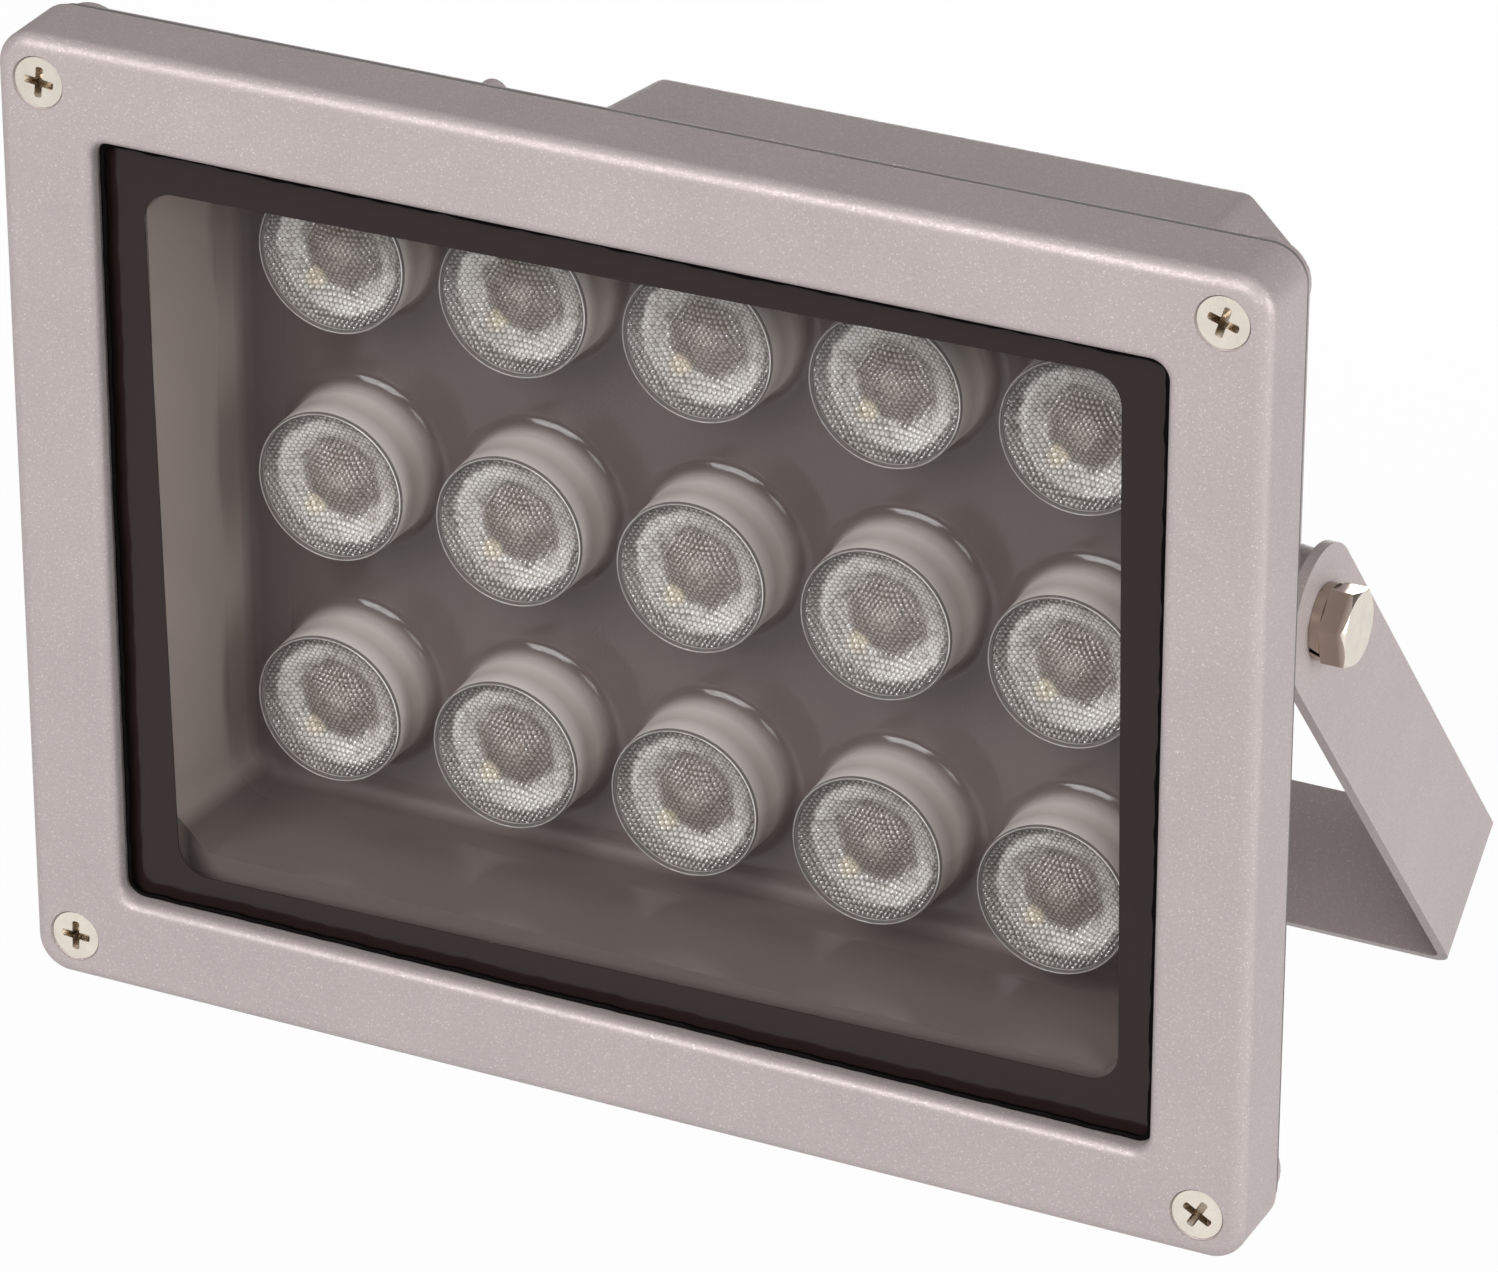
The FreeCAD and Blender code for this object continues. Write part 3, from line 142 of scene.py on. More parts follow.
class Shader:
    """Small helper that builds a material's node tree."""

    def __init__(self, name):
        self.material = bpy.data.materials.new(name)
        self.material.use_nodes = True
        self.nodes = self.material.node_tree.nodes
        self.links = self.material.node_tree.links
        self.surface = self.nodes["Principled BSDF"]
        self.output = self.nodes["Material Output"]

    def add(self, kind, **values):
        """Adds a node and sets its inputs and properties by name."""
        node = self.nodes.new(kind)
        for key, value in values.items():
            if hasattr(node, key):
                setattr(node, key, value)
            else:
                node.inputs[key.replace("_", " ")].default_value = value
        return node

    def link(self, source, target):
        """Joins an output socket to an input socket."""
        self.links.new(source, target)

    def base(self, **values):
        """Sets constant values on the surface's own sockets."""
        for key, value in values.items():
            self.surface.inputs[key.replace("_", " ")].default_value = value

    def place(self):
        """Object coordinates."""
        return self.add("ShaderNodeTexCoord").outputs["Object"]

    def noise(self, place, scale, detail=2.0, roughness=0.5):
        """Noise value at a scale in cells per metre."""
        node = self.add("ShaderNodeTexNoise", Scale=scale, Detail=detail, Roughness=roughness)
        self.link(place, node.inputs["Vector"])
        return node.outputs["Fac"]

    def from_point(self, centre):
        """UV coordinates measured from a point of a lens face, where the rim is 0.5 from the middle."""
        shift = self.add("ShaderNodeVectorMath", operation="SUBTRACT")
        self.link(self.add("ShaderNodeTexCoord").outputs["UV"], shift.inputs[0])
        shift.inputs[1].default_value = (*centre, 0)
        return shift.outputs[0]

    def radius(self, centre):
        """Distance in UV space from a point of a lens face."""
        length = self.add("ShaderNodeVectorMath", operation="LENGTH")
        self.link(self.from_point(centre), length.inputs[0])
        return length.outputs["Value"]

    def hexagon(self, centre, turn):
        """Distance in UV space from a point, along the nearest of six sides."""
        place = self.from_point(centre)
        reach = 0.0
        for step in range(3):
            angle = math.radians(turn + 60 * step)
            side = self.add("ShaderNodeVectorMath", operation="DOT_PRODUCT")
            self.link(place, side.inputs[0])
            side.inputs[1].default_value = (math.cos(angle), math.sin(angle), 0)
            reach = self.math("MAXIMUM", self.math("ABSOLUTE", side.outputs["Value"], 0.0), reach)
        return reach

    def math(self, operation, first, second):
        """Result of a math node; each input may be a socket or a number."""
        node = self.add("ShaderNodeMath", operation=operation)
        for socket, value in zip(node.inputs, (first, second)):
            if isinstance(value, bpy.types.NodeSocket):
                self.link(value, socket)
            else:
                socket.default_value = value
        return node.outputs[0]

    def cells(self, place, scale):
        """Random value per cell at a scale in cells per metre."""
        node = self.add("ShaderNodeTexVoronoi", Scale=scale)
        self.link(place, node.inputs["Vector"])
        split = self.add("ShaderNodeSeparateColor")
        self.link(node.outputs["Color"], split.inputs[0])
        return split.outputs[0]

    def ramp(self, value, stops):
        """Colour ramp through (position, colour) stops."""
        node = self.add("ShaderNodeValToRGB")
        node.color_ramp.elements[0].position = stops[0][0]
        node.color_ramp.elements[0].color = (*stops[0][1], 1)
        node.color_ramp.elements[1].position = stops[-1][0]
        node.color_ramp.elements[1].color = (*stops[-1][1], 1)
        for position, color in stops[1:-1]:
            element = node.color_ramp.elements.new(position)
            element.color = (*color, 1)
        self.link(value, node.inputs["Fac"])
        return node.outputs["Color"]

    def spread(self, value, low_in, high_in, low_out, high_out):
        """Maps a value from one range to another."""
        node = self.add("ShaderNodeMapRange")
        for socket, number in zip(node.inputs[1:5], (low_in, high_in, low_out, high_out)):
            socket.default_value = number
        self.link(value, node.inputs[0])
        return node.outputs[0]

    def mix(self, share, first, second, blend="MIX"):
        """Mixes two colours; each may be a socket or a constant."""
        node = self.add("ShaderNodeMix", data_type="RGBA", blend_type=blend)
        for socket, value in ((node.inputs[0], share), (node.inputs[6], first), (node.inputs[7], second)):
            if isinstance(value, bpy.types.NodeSocket):
                self.link(value, socket)
            elif isinstance(value, tuple):
                socket.default_value = (*value, 1)
            else:
                socket.default_value = value
        return node.outputs[2]

    def bump(self, height, strength, distance):
        """Normal bent by a height value."""
        node = self.add("ShaderNodeBump", Strength=strength, Distance=distance)
        self.link(height, node.inputs["Height"])
        self.link(node.outputs["Normal"], self.surface.inputs["Normal"])
        return node


def silver_paint(name, grain, metallic):
    """Silver paint: fine flakes, light cloudiness and a faint orange-peel surface."""
    shader = Shader(name)
    place = shader.place()
    color = tuple(settings().paint_color)
    light = tuple(min(1.0, channel * 1.25 + 0.05) for channel in color)
    dark = tuple(channel * 0.90 for channel in color)
    flakes = shader.ramp(shader.cells(place, 1 / grain), [(0.0, dark), (0.4, color), (0.92, color), (1.0, light)])
    cloud = shader.ramp(shader.noise(place, 60, 3.0), [(0.3, (0.94, 0.94, 0.94)), (0.7, (1.0, 1.0, 1.0))])
    shader.link(shader.mix(1.0, flakes, cloud, "MULTIPLY"), shader.surface.inputs["Base Color"])
    shader.link(shader.spread(shader.cells(place, 0.8 / grain), 0, 1, 0.42, 0.62), shader.surface.inputs["Roughness"])
    shader.base(Metallic=metallic, IOR=1.45)
    shader.bump(shader.noise(place, 1500, 2.0), 0.12, 0.0003)
    return shader.material


def nickel(name, color, roughness, recess_shade=None):
    """Plated steel with fine handling marks; the last argument gives an axis, a face's place on it, a depth and a
    colour, and the metal below that face takes painted shade of that colour.
    """
    shader = Shader(name)
    place = shader.place()
    shade = shader.ramp(shader.noise(place, 400, 4.0), [(0.3, tuple(c * 0.9 for c in color)), (0.7, color)])
    if recess_shade:
        # Painted shade: below the given face the metal darkens towards the given colour, into the screw's cross recess
        # and down the bolt head's sides.
        axis, face, depth, shade_tone = recess_shade
        axes = shader.add("ShaderNodeSeparateXYZ")
        shader.link(place, axes.inputs[0])
        reach = shader.math("ABSOLUTE", axes.outputs[axis], 0.0)
        shade = shader.mix(shader.spread(reach, abs(face) - 0.0001, abs(face) - depth, 0.0, 0.8), shade, shade_tone)
    shader.link(shade, shader.surface.inputs["Base Color"])
    shader.link(shader.spread(shader.noise(place, 900, 3.0), 0.3, 0.7, roughness * 0.8, roughness * 1.3),
                shader.surface.inputs["Roughness"])
    shader.base(Metallic=1.0)
    shader.bump(shader.noise(place, 1200, 2.0), 0.06, 0.0002)
    return shader.material


def moulding(name, color, roughness, grain=2500, strength=0.08, specular=0.5):
    """Moulded plastic, rubber or solder mask with a faint grain."""
    shader = Shader(name)
    place = shader.place()
    shade = shader.ramp(shader.noise(place, 90, 4.0), [(0.25, tuple(c * 0.9 for c in color)), (0.75, color)])
    shader.link(shade, shader.surface.inputs["Base Color"])
    shader.link(shader.spread(shader.noise(place, 500, 3.0), 0.3, 0.7, roughness * 0.85, min(1.0, roughness * 1.2)),
                shader.surface.inputs["Roughness"])
    shader.surface.inputs["Specular IOR Level"].default_value = specular
    shader.bump(shader.noise(place, grain, 2.0), strength, 0.0002)
    return shader.material


def pane_glass(name):
    """Clear pane: mostly see-through with a faint haze."""
    shader = Shader(name)
    place = shader.place()
    haze = shader.ramp(shader.noise(place, 25, 3.0), [(0.3, (0.20, 0.17, 0.16)), (0.7, (0.28, 0.24, 0.23))])
    shader.link(haze, shader.surface.inputs["Base Color"])
    shader.base(Roughness=0.04, IOR=1.5, Alpha=0.04)
    return shader.material


def cap_plastic(name):
    """Clear moulding over a lens, glossy with faint flow lines."""
    shader = Shader(name)
    place = shader.place()
    tint = shader.ramp(shader.noise(place, 120, 2.0), [(0.3, (0.16, 0.15, 0.14)), (0.7, (0.22, 0.21, 0.20))])
    shader.link(tint, shader.surface.inputs["Base Color"])
    shader.link(shader.spread(shader.noise(place, 500, 2.0), 0.3, 0.7, 0.03, 0.08), shader.surface.inputs["Roughness"])
    shader.base(IOR=1.6, Alpha=0.06)
    return shader.material


def polished_edge(name):
    """Polished edge of a lens, with faint handling marks and a painted highlight at the upper right."""
    shader = Shader(name)
    place = shader.place()
    shade = shader.ramp(shader.noise(place, 800, 3.0), [(0.3, (0.40, 0.37, 0.35)), (0.7, (0.54, 0.51, 0.48))])
    turn = shader.add("ShaderNodeSeparateXYZ")
    shader.link(shader.add("ShaderNodeTexCoord").outputs["UV"], turn.inputs[0])
    # Painted highlight: a bright stretch of the edge at the upper right, placed by the ring's turn share.
    painted_highlight = shader.ramp(turn.outputs["X"], [(0.0, (1, 1, 1)), (0.17, (1, 1, 1)), (0.22, (0, 0, 0)),
                                            (0.93, (0, 0, 0)), (0.98, (1, 1, 1))])
    shade = shader.mix(painted_highlight, shade, (1.0, 0.97, 0.94))
    shader.link(shade, shader.surface.inputs["Base Color"])
    shader.link(shader.spread(shader.noise(place, 500, 2.0), 0.3, 0.7, 0.10, 0.2), shader.surface.inputs["Roughness"])
    shader.base(IOR=1.9)
    return shader.material


def core_plastic(name):
    """Bright beaded inside of a lens with painted light: a white ring of painted reflected light, a darker six-sided
    middle of painted shade, painted shade on two opposite sides, painted shade between the beads, a painted glint on
    each bead and a warm patch from the emitter.
    """
    shader = Shader(name)
    place = shader.place()
    reach = shader.radius((0.524, 0.524))
    sides = shader.hexagon((0.524, 0.524), 12.0)
    outer = shader.spread(reach, 0.28, 0.36, 0.0, 1.0)
    middle = shader.math("MULTIPLY", shader.math("MULTIPLY", sides, 1.06), shader.math("SUBTRACT", 1.0, outer))
    shape = shader.math("ADD", shader.math("MULTIPLY", reach, outer), middle)
    wander = shader.spread(shader.noise(place, 900, 2.0), 0.3, 0.7, -0.014, 0.014)
    # Painted light and shade: a white ring of painted reflected light, a darker six-sided middle of painted shade and a
    # dark outer band.
    ring_light_and_shade = shader.ramp(shader.math("ADD", shape, wander), [
        (0.00, (0.60, 0.54, 0.47)), (0.07, (0.48, 0.42, 0.365)), (0.12, (0.33, 0.28, 0.24)),
        (0.24, (0.34, 0.295, 0.26)), (0.28, (0.52, 0.49, 0.46)), (0.315, (1.00, 0.975, 0.945)),
        (0.420, (1.00, 0.98, 0.955)), (0.438, (0.30, 0.275, 0.26)), (0.460, (0.15, 0.132, 0.124))])
    corner = shader.add("ShaderNodeSeparateXYZ")
    shader.link(shader.add("ShaderNodeTexCoord").outputs["UV"], corner.inputs[0])
    slant = shader.math("SUBTRACT", shader.math("ADD", corner.outputs["X"], corner.outputs["Y"]), 1.0)
    # Painted shade on the upper-right and lower-left sides of each lens.
    side_shade_share = shader.spread(shader.math("ABSOLUTE", slant, 0.0), 0.28, 0.52, 0.0, 0.55)
    side_shaded = shader.mix(side_shade_share, ring_light_and_shade, (0.36, 0.325, 0.30))
    rows = shader.spread(shader.math("SINE", shader.math("MULTIPLY", sides, 150.0), 0.0), -1.0, 1.0, 0.0, 0.34)
    lined = shader.mix(shader.math("MULTIPLY", rows, shader.spread(reach, 0.22, 0.34, 1.0, 0.2)), side_shaded,
                       (0.10, 0.085, 0.075))
    warm = shader.spread(shader.radius((0.335, 0.30)), 0.045, 0.085, 0.85, 0.0)
    shade = shader.mix(warm, lined, (0.98, 0.88, 0.68))
    rise = shader.add("ShaderNodeUVMap", uv_map="Bead")
    top = shader.add("ShaderNodeSeparateXYZ")
    shader.link(rise.outputs[0], top.inputs[0])
    # Painted shade in the gaps between beads; the cells below give each bead its own tone.
    bead_gap_shade = shader.ramp(top.outputs["X"], [(0.05, (0.40, 0.37, 0.35)), (0.5, (1.0, 1.0, 1.0))])
    uneven = shader.ramp(shader.cells(place, 1300), [(0.0, (0.62, 0.59, 0.56)), (0.35, (0.95, 0.93, 0.91)),
                                                    (1.0, (1.0, 1.0, 1.0))])
    beads = shader.mix(1.0, bead_gap_shade, uneven, "MULTIPLY")
    # Painted glint on the top of each bead.
    painted_glint = shader.spread(top.outputs["X"], 0.80, 1.0, 0.0, 0.55)
    dotted = shader.mix(painted_glint, shader.mix(1.0, shade, beads, "MULTIPLY"), (0.95, 0.92, 0.87))
    shader.link(dotted, shader.surface.inputs["Base Color"])
    shader.link(shader.spread(shader.noise(place, 700, 2.0), 0.3, 0.7, 0.07, 0.16), shader.surface.inputs["Roughness"])
    shader.base(IOR=1.95)
    return shader.material


def paint_nodes(material, *names):
    """Gives one material to CAD nodes."""
    for name in names:
        node = require(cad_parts.get(name), f"no CAD node named {name}")
        node.data.materials.clear()
        node.data.materials.append(material)


def mesh_piece(name, mesh, material, body):
    """New piece that rides on a body and takes the given material."""
    piece = bpy.data.objects.new(name, mesh)
    bpy.context.scene.collection.objects.link(piece)
    piece.data.materials.clear()
    piece.data.materials.append(material)
    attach(piece, body)
    return piece


def frozen(source, name):
    """Real mesh of an object with its modifiers applied; the object is removed."""
    depsgraph = bpy.context.evaluated_depsgraph_get()
    mesh = bpy.data.meshes.new_from_object(source.evaluated_get(depsgraph))
    mesh.name = name
    bpy.data.objects.remove(source)
    return mesh


class LAMP_OT_castings(bpy.types.Operator):
    """Paint the front frame, the rear housing and the bracket."""

    bl_idname = "lamp.castings"
    bl_label = "Paint the castings and bracket"

    def execute(self, context):
        grain = settings().paint_grain
        paint_nodes(silver_paint("cast_paint", grain, 0.35), "bezel", "rear_housing")
        paint_nodes(silver_paint("sheet_paint", grain, 0.18), "u_bracket")
        paint_nodes(moulding("gasket_rubber", (0.20, 0.18, 0.18), 0.8), "housing_gasket", "gland_grommet")
        return {"FINISHED"}


class LAMP_OT_hardware(bpy.types.Operator):
    """Plate the screws, bolts and washers."""

    bl_idname = "lamp.hardware"
    bl_label = "Plate the hardware"

    def execute(self, context):
        bolt_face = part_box("bracket_bolt_right")[1][0]
        # Painted shade below the bolt heads' outer faces and below the screw heads' faces, in the colours given last.
        bolt_nickel = nickel("bolt_nickel", (0.95, 0.87, 0.76), 0.20, ("X", bolt_face, 0.0011, (0.34, 0.27, 0.21)))
        paint_nodes(bolt_nickel, "bracket_bolt_left", "bracket_bolt_right", "spring_washer_left", "spring_washer_right")
        screw_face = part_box("bezel_screws")[0][1]
        screw_nickel = nickel("screw_nickel", (0.93, 0.85, 0.75), 0.26, ("Y", screw_face, 0.0009, (0.36, 0.29, 0.22)))
        paint_nodes(screw_nickel, "bezel_screws")
        paint_nodes(nickel("zinc", (0.62, 0.63, 0.64), 0.35), "led_board_screws", "driver_screws")
        return {"FINISHED"}


def rounded_path(half_width, half_height, radius, step):
    """Points and outward directions round a rectangle with round corners, in X and Z."""
    points = []
    corners = [(1, 1), (-1, 1), (-1, -1), (1, -1)]
    for turn, (side, level) in enumerate(corners):
        centre = Vector((side * (half_width - radius), level * (half_height - radius)))
        for share in range(7):
            angle = math.radians(90 * turn + 15 * share)
            outward = Vector((math.cos(angle), math.sin(angle)))
            points.append((centre + outward * radius, outward))
        following = corners[(turn + 1) % 4]
        start = points[-1][0]
        end = Vector((following[0] * (half_width - radius), following[1] * (half_height - radius))) + outward * radius
        count = max(2, int((end - start).length / step))
        for index in range(1, count):
            points.append((start.lerp(end, index / count), outward))
    return points


class LAMP_OT_glass_front(bpy.types.Operator):
    """Finish the glass and its printed border, and lay the silicone bead."""

    bl_idname = "lamp.glass_front"
    bl_label = "Glass, border and silicone"

    LIP_HALF = (0.0767, 0.0568)
    LIP_CORNER = 0.0026
    STEP = 0.0007
    WIDTH = 0.0010
    SEAT = 0.00006
    HEIGHT = 0.0016

    def execute(self, context):
        paint_nodes(pane_glass("pane_glass"), "front_glass")
        paint_nodes(moulding("border_print", (0.024, 0.014, 0.013), 0.14, 1200, 0.02, 0.26), "glass_border_print")
        low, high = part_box("glass_border_print")
        centre = (Vector(low) + Vector(high)) / 2
        front = low[1] - self.SEAT
        chance = random.Random(settings().silicone_seed)
        path = rounded_path(*self.LIP_HALF, self.LIP_CORNER, self.STEP)
        wander = [0.0] * len(path)
        for harmonic in (9, 17, 31, 55, 93, 140):
            phase = chance.uniform(0, math.tau)
            for index in range(len(path)):
                wander[index] += math.sin(math.tau * harmonic * index / len(path) + phase) / 3.2
        mesh = bmesh.new()
        ring_light_and_shade = []
        for (point, outward), shift in zip(path, wander):
            width = self.WIDTH + shift * settings().silicone_wander
            ring = []
            for share in range(7):
                angle = math.radians(90 * share / 6)
                inward = width * (1 - math.cos(angle))
                rise = self.HEIGHT * (1 - math.sin(angle))
                at = point - outward * (width - inward - 0.0001)
                ring.append(mesh.verts.new((centre.x + at.x, front - rise, centre.z + at.y)))
            at = point + outward * 0.0012
            ring.insert(0, mesh.verts.new((centre.x + at.x, front, centre.z + at.y)))
            ring_light_and_shade.append(ring)
        count = len(ring_light_and_shade)
        for index in range(count):
            here, there = ring_light_and_shade[index], ring_light_and_shade[(index + 1) % count]
            for place in range(len(here)):
                after = (place + 1) % len(here)
                mesh.faces.new((here[place], here[after], there[after], there[place]))
        bmesh.ops.recalc_face_normals(mesh, faces=mesh.faces)
        data = bpy.data.meshes.new("silicone_bead")
        mesh.to_mesh(data)
        mesh.free()
        data.shade_smooth()
        silicone = moulding("silicone", (0.003, 0.002, 0.002), 0.6, 1600, 0.2, 0.06)
        piece = mesh_piece("silicone_bead", data, silicone, "head")
        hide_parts("glass_seal")
        return {"FINISHED"}


class NodeGroup:
    """Small helper that builds a Geometry Nodes group with named inputs."""

    def __init__(self, name):
        self.tree = bpy.data.node_groups.new(name, "GeometryNodeTree")
        self.tree.interface.new_socket("Geometry", in_out="INPUT", socket_type="NodeSocketGeometry")
        self.tree.interface.new_socket("Geometry", in_out="OUTPUT", socket_type="NodeSocketGeometry")
        self.inputs = self.tree.nodes.new("NodeGroupInput")
        self.outputs = self.tree.nodes.new("NodeGroupOutput")

    def socket(self, name, kind):
        """Adds a named input."""
        self.tree.interface.new_socket(name, in_out="INPUT", socket_type=kind)
        return self.inputs.outputs[name]

    def add(self, kind, **values):
        """Adds a node; a value that is a socket is linked, any other is set."""
        node = self.tree.nodes.new(kind)
        for key, value in values.items():
            name = key.replace("_", " ")
            if isinstance(value, bpy.types.NodeSocket):
                self.tree.links.new(value, node.inputs[name])
            elif hasattr(node, key):
                setattr(node, key, value)
            else:
                node.inputs[name].default_value = value
        return node

    def link(self, source, target):
        """Joins an output socket to an input socket."""
        self.tree.links.new(source, target)

    def math(self, operation, first, second):
        """Result of a math node on two sockets or numbers."""
        node = self.tree.nodes.new("ShaderNodeMath")
        node.operation = operation
        for socket, value in zip(node.inputs, (first, second)):
            if isinstance(value, bpy.types.NodeSocket):
                self.tree.links.new(value, socket)
            else:
                socket.default_value = value
        return node.outputs[0]

    def join(self, *sockets):
        """Joins geometry."""
        node = self.tree.nodes.new("GeometryNodeJoinGeometry")
        for socket in sockets:
            self.tree.links.new(socket, node.inputs[0])
        return node.outputs[0]

    def finish(self, socket):
        """Sends geometry to the group's output."""
        self.tree.links.new(socket, self.outputs.inputs[0])
        return self.tree


def bead_cell_mesh(pitch, height):
    """One six-sided bead in the XY plane, high in the middle and down to zero at its corners."""
    corner = pitch / math.sqrt(3)
    verts = [(0.0, 0.0, height)]
    for radius, share in ((corner * 0.5, 0.76), (corner, 0.0)):
        for step in range(6):
            angle = math.radians(60 * step + 30)
            verts.append((radius * math.cos(angle), radius * math.sin(angle), height * share))
    faces = [(0, 1 + step, 1 + (step + 1) % 6) for step in range(6)]
    faces += [(1 + step, 7 + step, 7 + (step + 1) % 6, 1 + (step + 1) % 6) for step in range(6)]
    data = bpy.data.meshes.new("bead_cell")
    data.from_pydata(verts, [], faces)
    return data


def bead_sheet_group():
    """Group that fills a round patch with touching beads."""
    group = NodeGroup("bead_sheet")
    cell = group.socket("Bead Cell", "NodeSocketObject")
    pitch = group.socket("Bead Pitch", "NodeSocketFloat")
    patch_radius = group.socket("Patch Radius", "NodeSocketFloat")
    span = group.math("MULTIPLY", patch_radius, 2.0)
    row_pitch = group.math("MULTIPLY", pitch, math.sqrt(3))
    across = group.math("CEIL", group.math("DIVIDE", span, pitch), 0.0)
    down = group.math("CEIL", group.math("DIVIDE", span, row_pitch), 0.0)
    grids = []
    for share in (0.0, 0.5):
        grid = group.add("GeometryNodeMeshGrid")
        group.link(group.math("MULTIPLY", across, pitch), grid.inputs["Size X"])
        group.link(group.math("MULTIPLY", down, row_pitch), grid.inputs["Size Y"])
        group.link(group.math("ADD", across, 1.0), grid.inputs["Vertices X"])
        group.link(group.math("ADD", down, 1.0), grid.inputs["Vertices Y"])
        offset = group.add("ShaderNodeCombineXYZ")
        group.link(group.math("MULTIPLY", pitch, share), offset.inputs[0])
        group.link(group.math("MULTIPLY", row_pitch, share), offset.inputs[1])
        moved = group.add("GeometryNodeTransform", Geometry=grid.outputs["Mesh"], Translation=offset.outputs[0])
        grids.append(moved.outputs[0])
    distance = group.add("ShaderNodeVectorMath", operation="LENGTH")
    group.link(group.add("GeometryNodeInputPosition").outputs[0], distance.inputs[0])
    outside = group.add("FunctionNodeCompare", operation="GREATER_THAN")
    group.link(distance.outputs["Value"], outside.inputs[0])
    group.link(patch_radius, outside.inputs[1])
    kept = group.add("GeometryNodeDeleteGeometry", Geometry=group.join(*grids), Selection=outside.outputs[0])
    source = group.add("GeometryNodeObjectInfo", Object=cell)
    beads = group.add("GeometryNodeInstanceOnPoints", Points=kept.outputs[0], Instance=source.outputs["Geometry"])
    real = group.add("GeometryNodeRealizeInstances", Geometry=beads.outputs[0])
    merged = group.add("GeometryNodeMergeByDistance", Geometry=real.outputs[0], Distance=0.00001)
    return group.finish(merged.outputs[0])


def lens_row_group():
    """Group that puts a copy of one lens at every point it is given."""
    group = NodeGroup("lens_row")
    lens = group.socket("Lens", "NodeSocketObject")
    material = group.socket("Material", "NodeSocketMaterial")
    source = group.add("GeometryNodeObjectInfo", Object=lens)
    spots = group.add("GeometryNodeMeshToPoints", Mesh=group.inputs.outputs["Geometry"])
    copies = group.add("GeometryNodeInstanceOnPoints", Points=spots.outputs[0], Instance=source.outputs["Geometry"])
    solid = group.add("GeometryNodeRealizeInstances", Geometry=copies.outputs[0])
    dressed = group.add("GeometryNodeSetMaterial", Geometry=solid.outputs[0], Material=material)
    return group.finish(dressed.outputs[0])


def set_inputs(modifier, **values):
    """Sets a Geometry Nodes modifier's inputs by their names."""
    for item in modifier.node_group.interface.items_tree:
        key = item.name.replace(" ", "_")
        if item.in_out == "INPUT" and key in values:
            modifier[item.identifier] = values.pop(key)
    require(not values, f"unknown inputs: {list(values)}")


def lens_mesh(sheet, face_radius, bowl, profile):
    """Closed body about the Y axis: a beaded face that follows a bowl, then the profile down to the axis."""
    mesh = bmesh.new()
    mesh.from_mesh(sheet)
    peak = max(vert.co.z for vert in mesh.verts)
    share = {vert: vert.co.z / peak for vert in mesh.verts}
    for vert in mesh.verts:
        across, along, rise = vert.co
        reach = math.hypot(across, along)
        if reach > face_radius:
            across, along, rise = across * face_radius / reach, along * face_radius / reach, 0.0
        vert.co = (across, bowl_depth(bowl, min(reach, face_radius)) - rise, along)
    on_rim = [face for face in mesh.faces
              if all(math.hypot(vert.co.x, vert.co.z) > face_radius - 1e-6 for vert in face.verts)]
    bmesh.ops.delete(mesh, geom=on_rim, context="FACES")
    loop = [edge for edge in mesh.edges if edge.is_boundary]
    for radius, depth in profile:
        made = bmesh.ops.extrude_edge_only(mesh, edges=loop)["geom"]
        loop = [item for item in made if isinstance(item, bmesh.types.BMEdge)]
        for vert in (item for item in made if isinstance(item, bmesh.types.BMVert)):
            reach = math.hypot(vert.co.x, vert.co.z)
            vert.co = (vert.co.x * radius / reach, depth, vert.co.z * radius / reach)
    last = {vert for edge in loop for vert in edge.verts}
    bmesh.ops.remove_doubles(mesh, verts=list(last), dist=profile[-1][0] * 2.2)
    bmesh.ops.recalc_face_normals(mesh, faces=mesh.faces)
    mesh.loops.layers.uv.new("UVMap")
    mesh.loops.layers.uv.new("Bead")
    face_map, bead_map = mesh.loops.layers.uv["UVMap"], mesh.loops.layers.uv["Bead"]
    for face in mesh.faces:
        for corner in face.loops:
            at = corner.vert.co
            corner[face_map].uv = (0.5 + at.x / (2 * LENS_RADIUS), 0.5 + at.z / (2 * LENS_RADIUS))
            corner[bead_map].uv = (share.get(corner.vert, 0.0), 0.0)
    data = bpy.data.meshes.new("lens")
    mesh.to_mesh(data)
    mesh.free()
    data.shade_smooth()
    data.set_sharp_from_angle(angle=math.radians(38))
    return data


def ring_mesh(radius, thick, depth, steps=72, sides=8):
    """Thin round ring about the Y axis."""
    verts, faces = [], []
    for step in range(steps):
        turn = math.tau * step / steps
        for side in range(sides):
            angle = math.tau * side / sides
            reach = radius + thick * math.cos(angle)
            verts.append((reach * math.cos(turn), depth + thick * math.sin(angle), reach * math.sin(turn)))
            after, beside = (step + 1) % steps, (side + 1) % sides
            faces.append((step * sides + side, step * sides + beside, after * sides + beside, after * sides + side))
    data = bpy.data.meshes.new("lens_edge")
    data.from_pydata(verts, [], faces)
    around = data.uv_layers.new(name="UVMap").data
    for face in data.polygons:
        step = face.index // sides
        for corner, share in zip(face.loop_indices, (0, 0, 1, 1)):
            around[corner].uv = ((step + share) / steps, 0.5)
    data.shade_smooth()
    return data


def bowl_depth(bowl, reach):
    """Depth of a bowl at a distance from its axis, on a smooth line through its (radius, depth) points."""
    for (near, near_depth), (far, far_depth) in zip(bowl, bowl[1:]):
        if reach <= far:
            share = (reach - near) / (far - near)
            share = share * share * (3 - 2 * share)
            return near_depth + (far_depth - near_depth) * share
    return bowl[-1][1]


def modified(holder, group, **values):
    """Adds a Geometry Nodes modifier to a linked object and returns the mesh it makes."""
    modifier = holder.modifiers.new("nodes", "NODES")
    modifier.node_group = group
    set_inputs(modifier, **values)
    bpy.context.view_layer.update()
    return frozen(holder, holder.name)


def linked(name, mesh):
    """New object in the scene."""
    item = bpy.data.objects.new(name, mesh)
    bpy.context.scene.collection.objects.link(item)
    return item


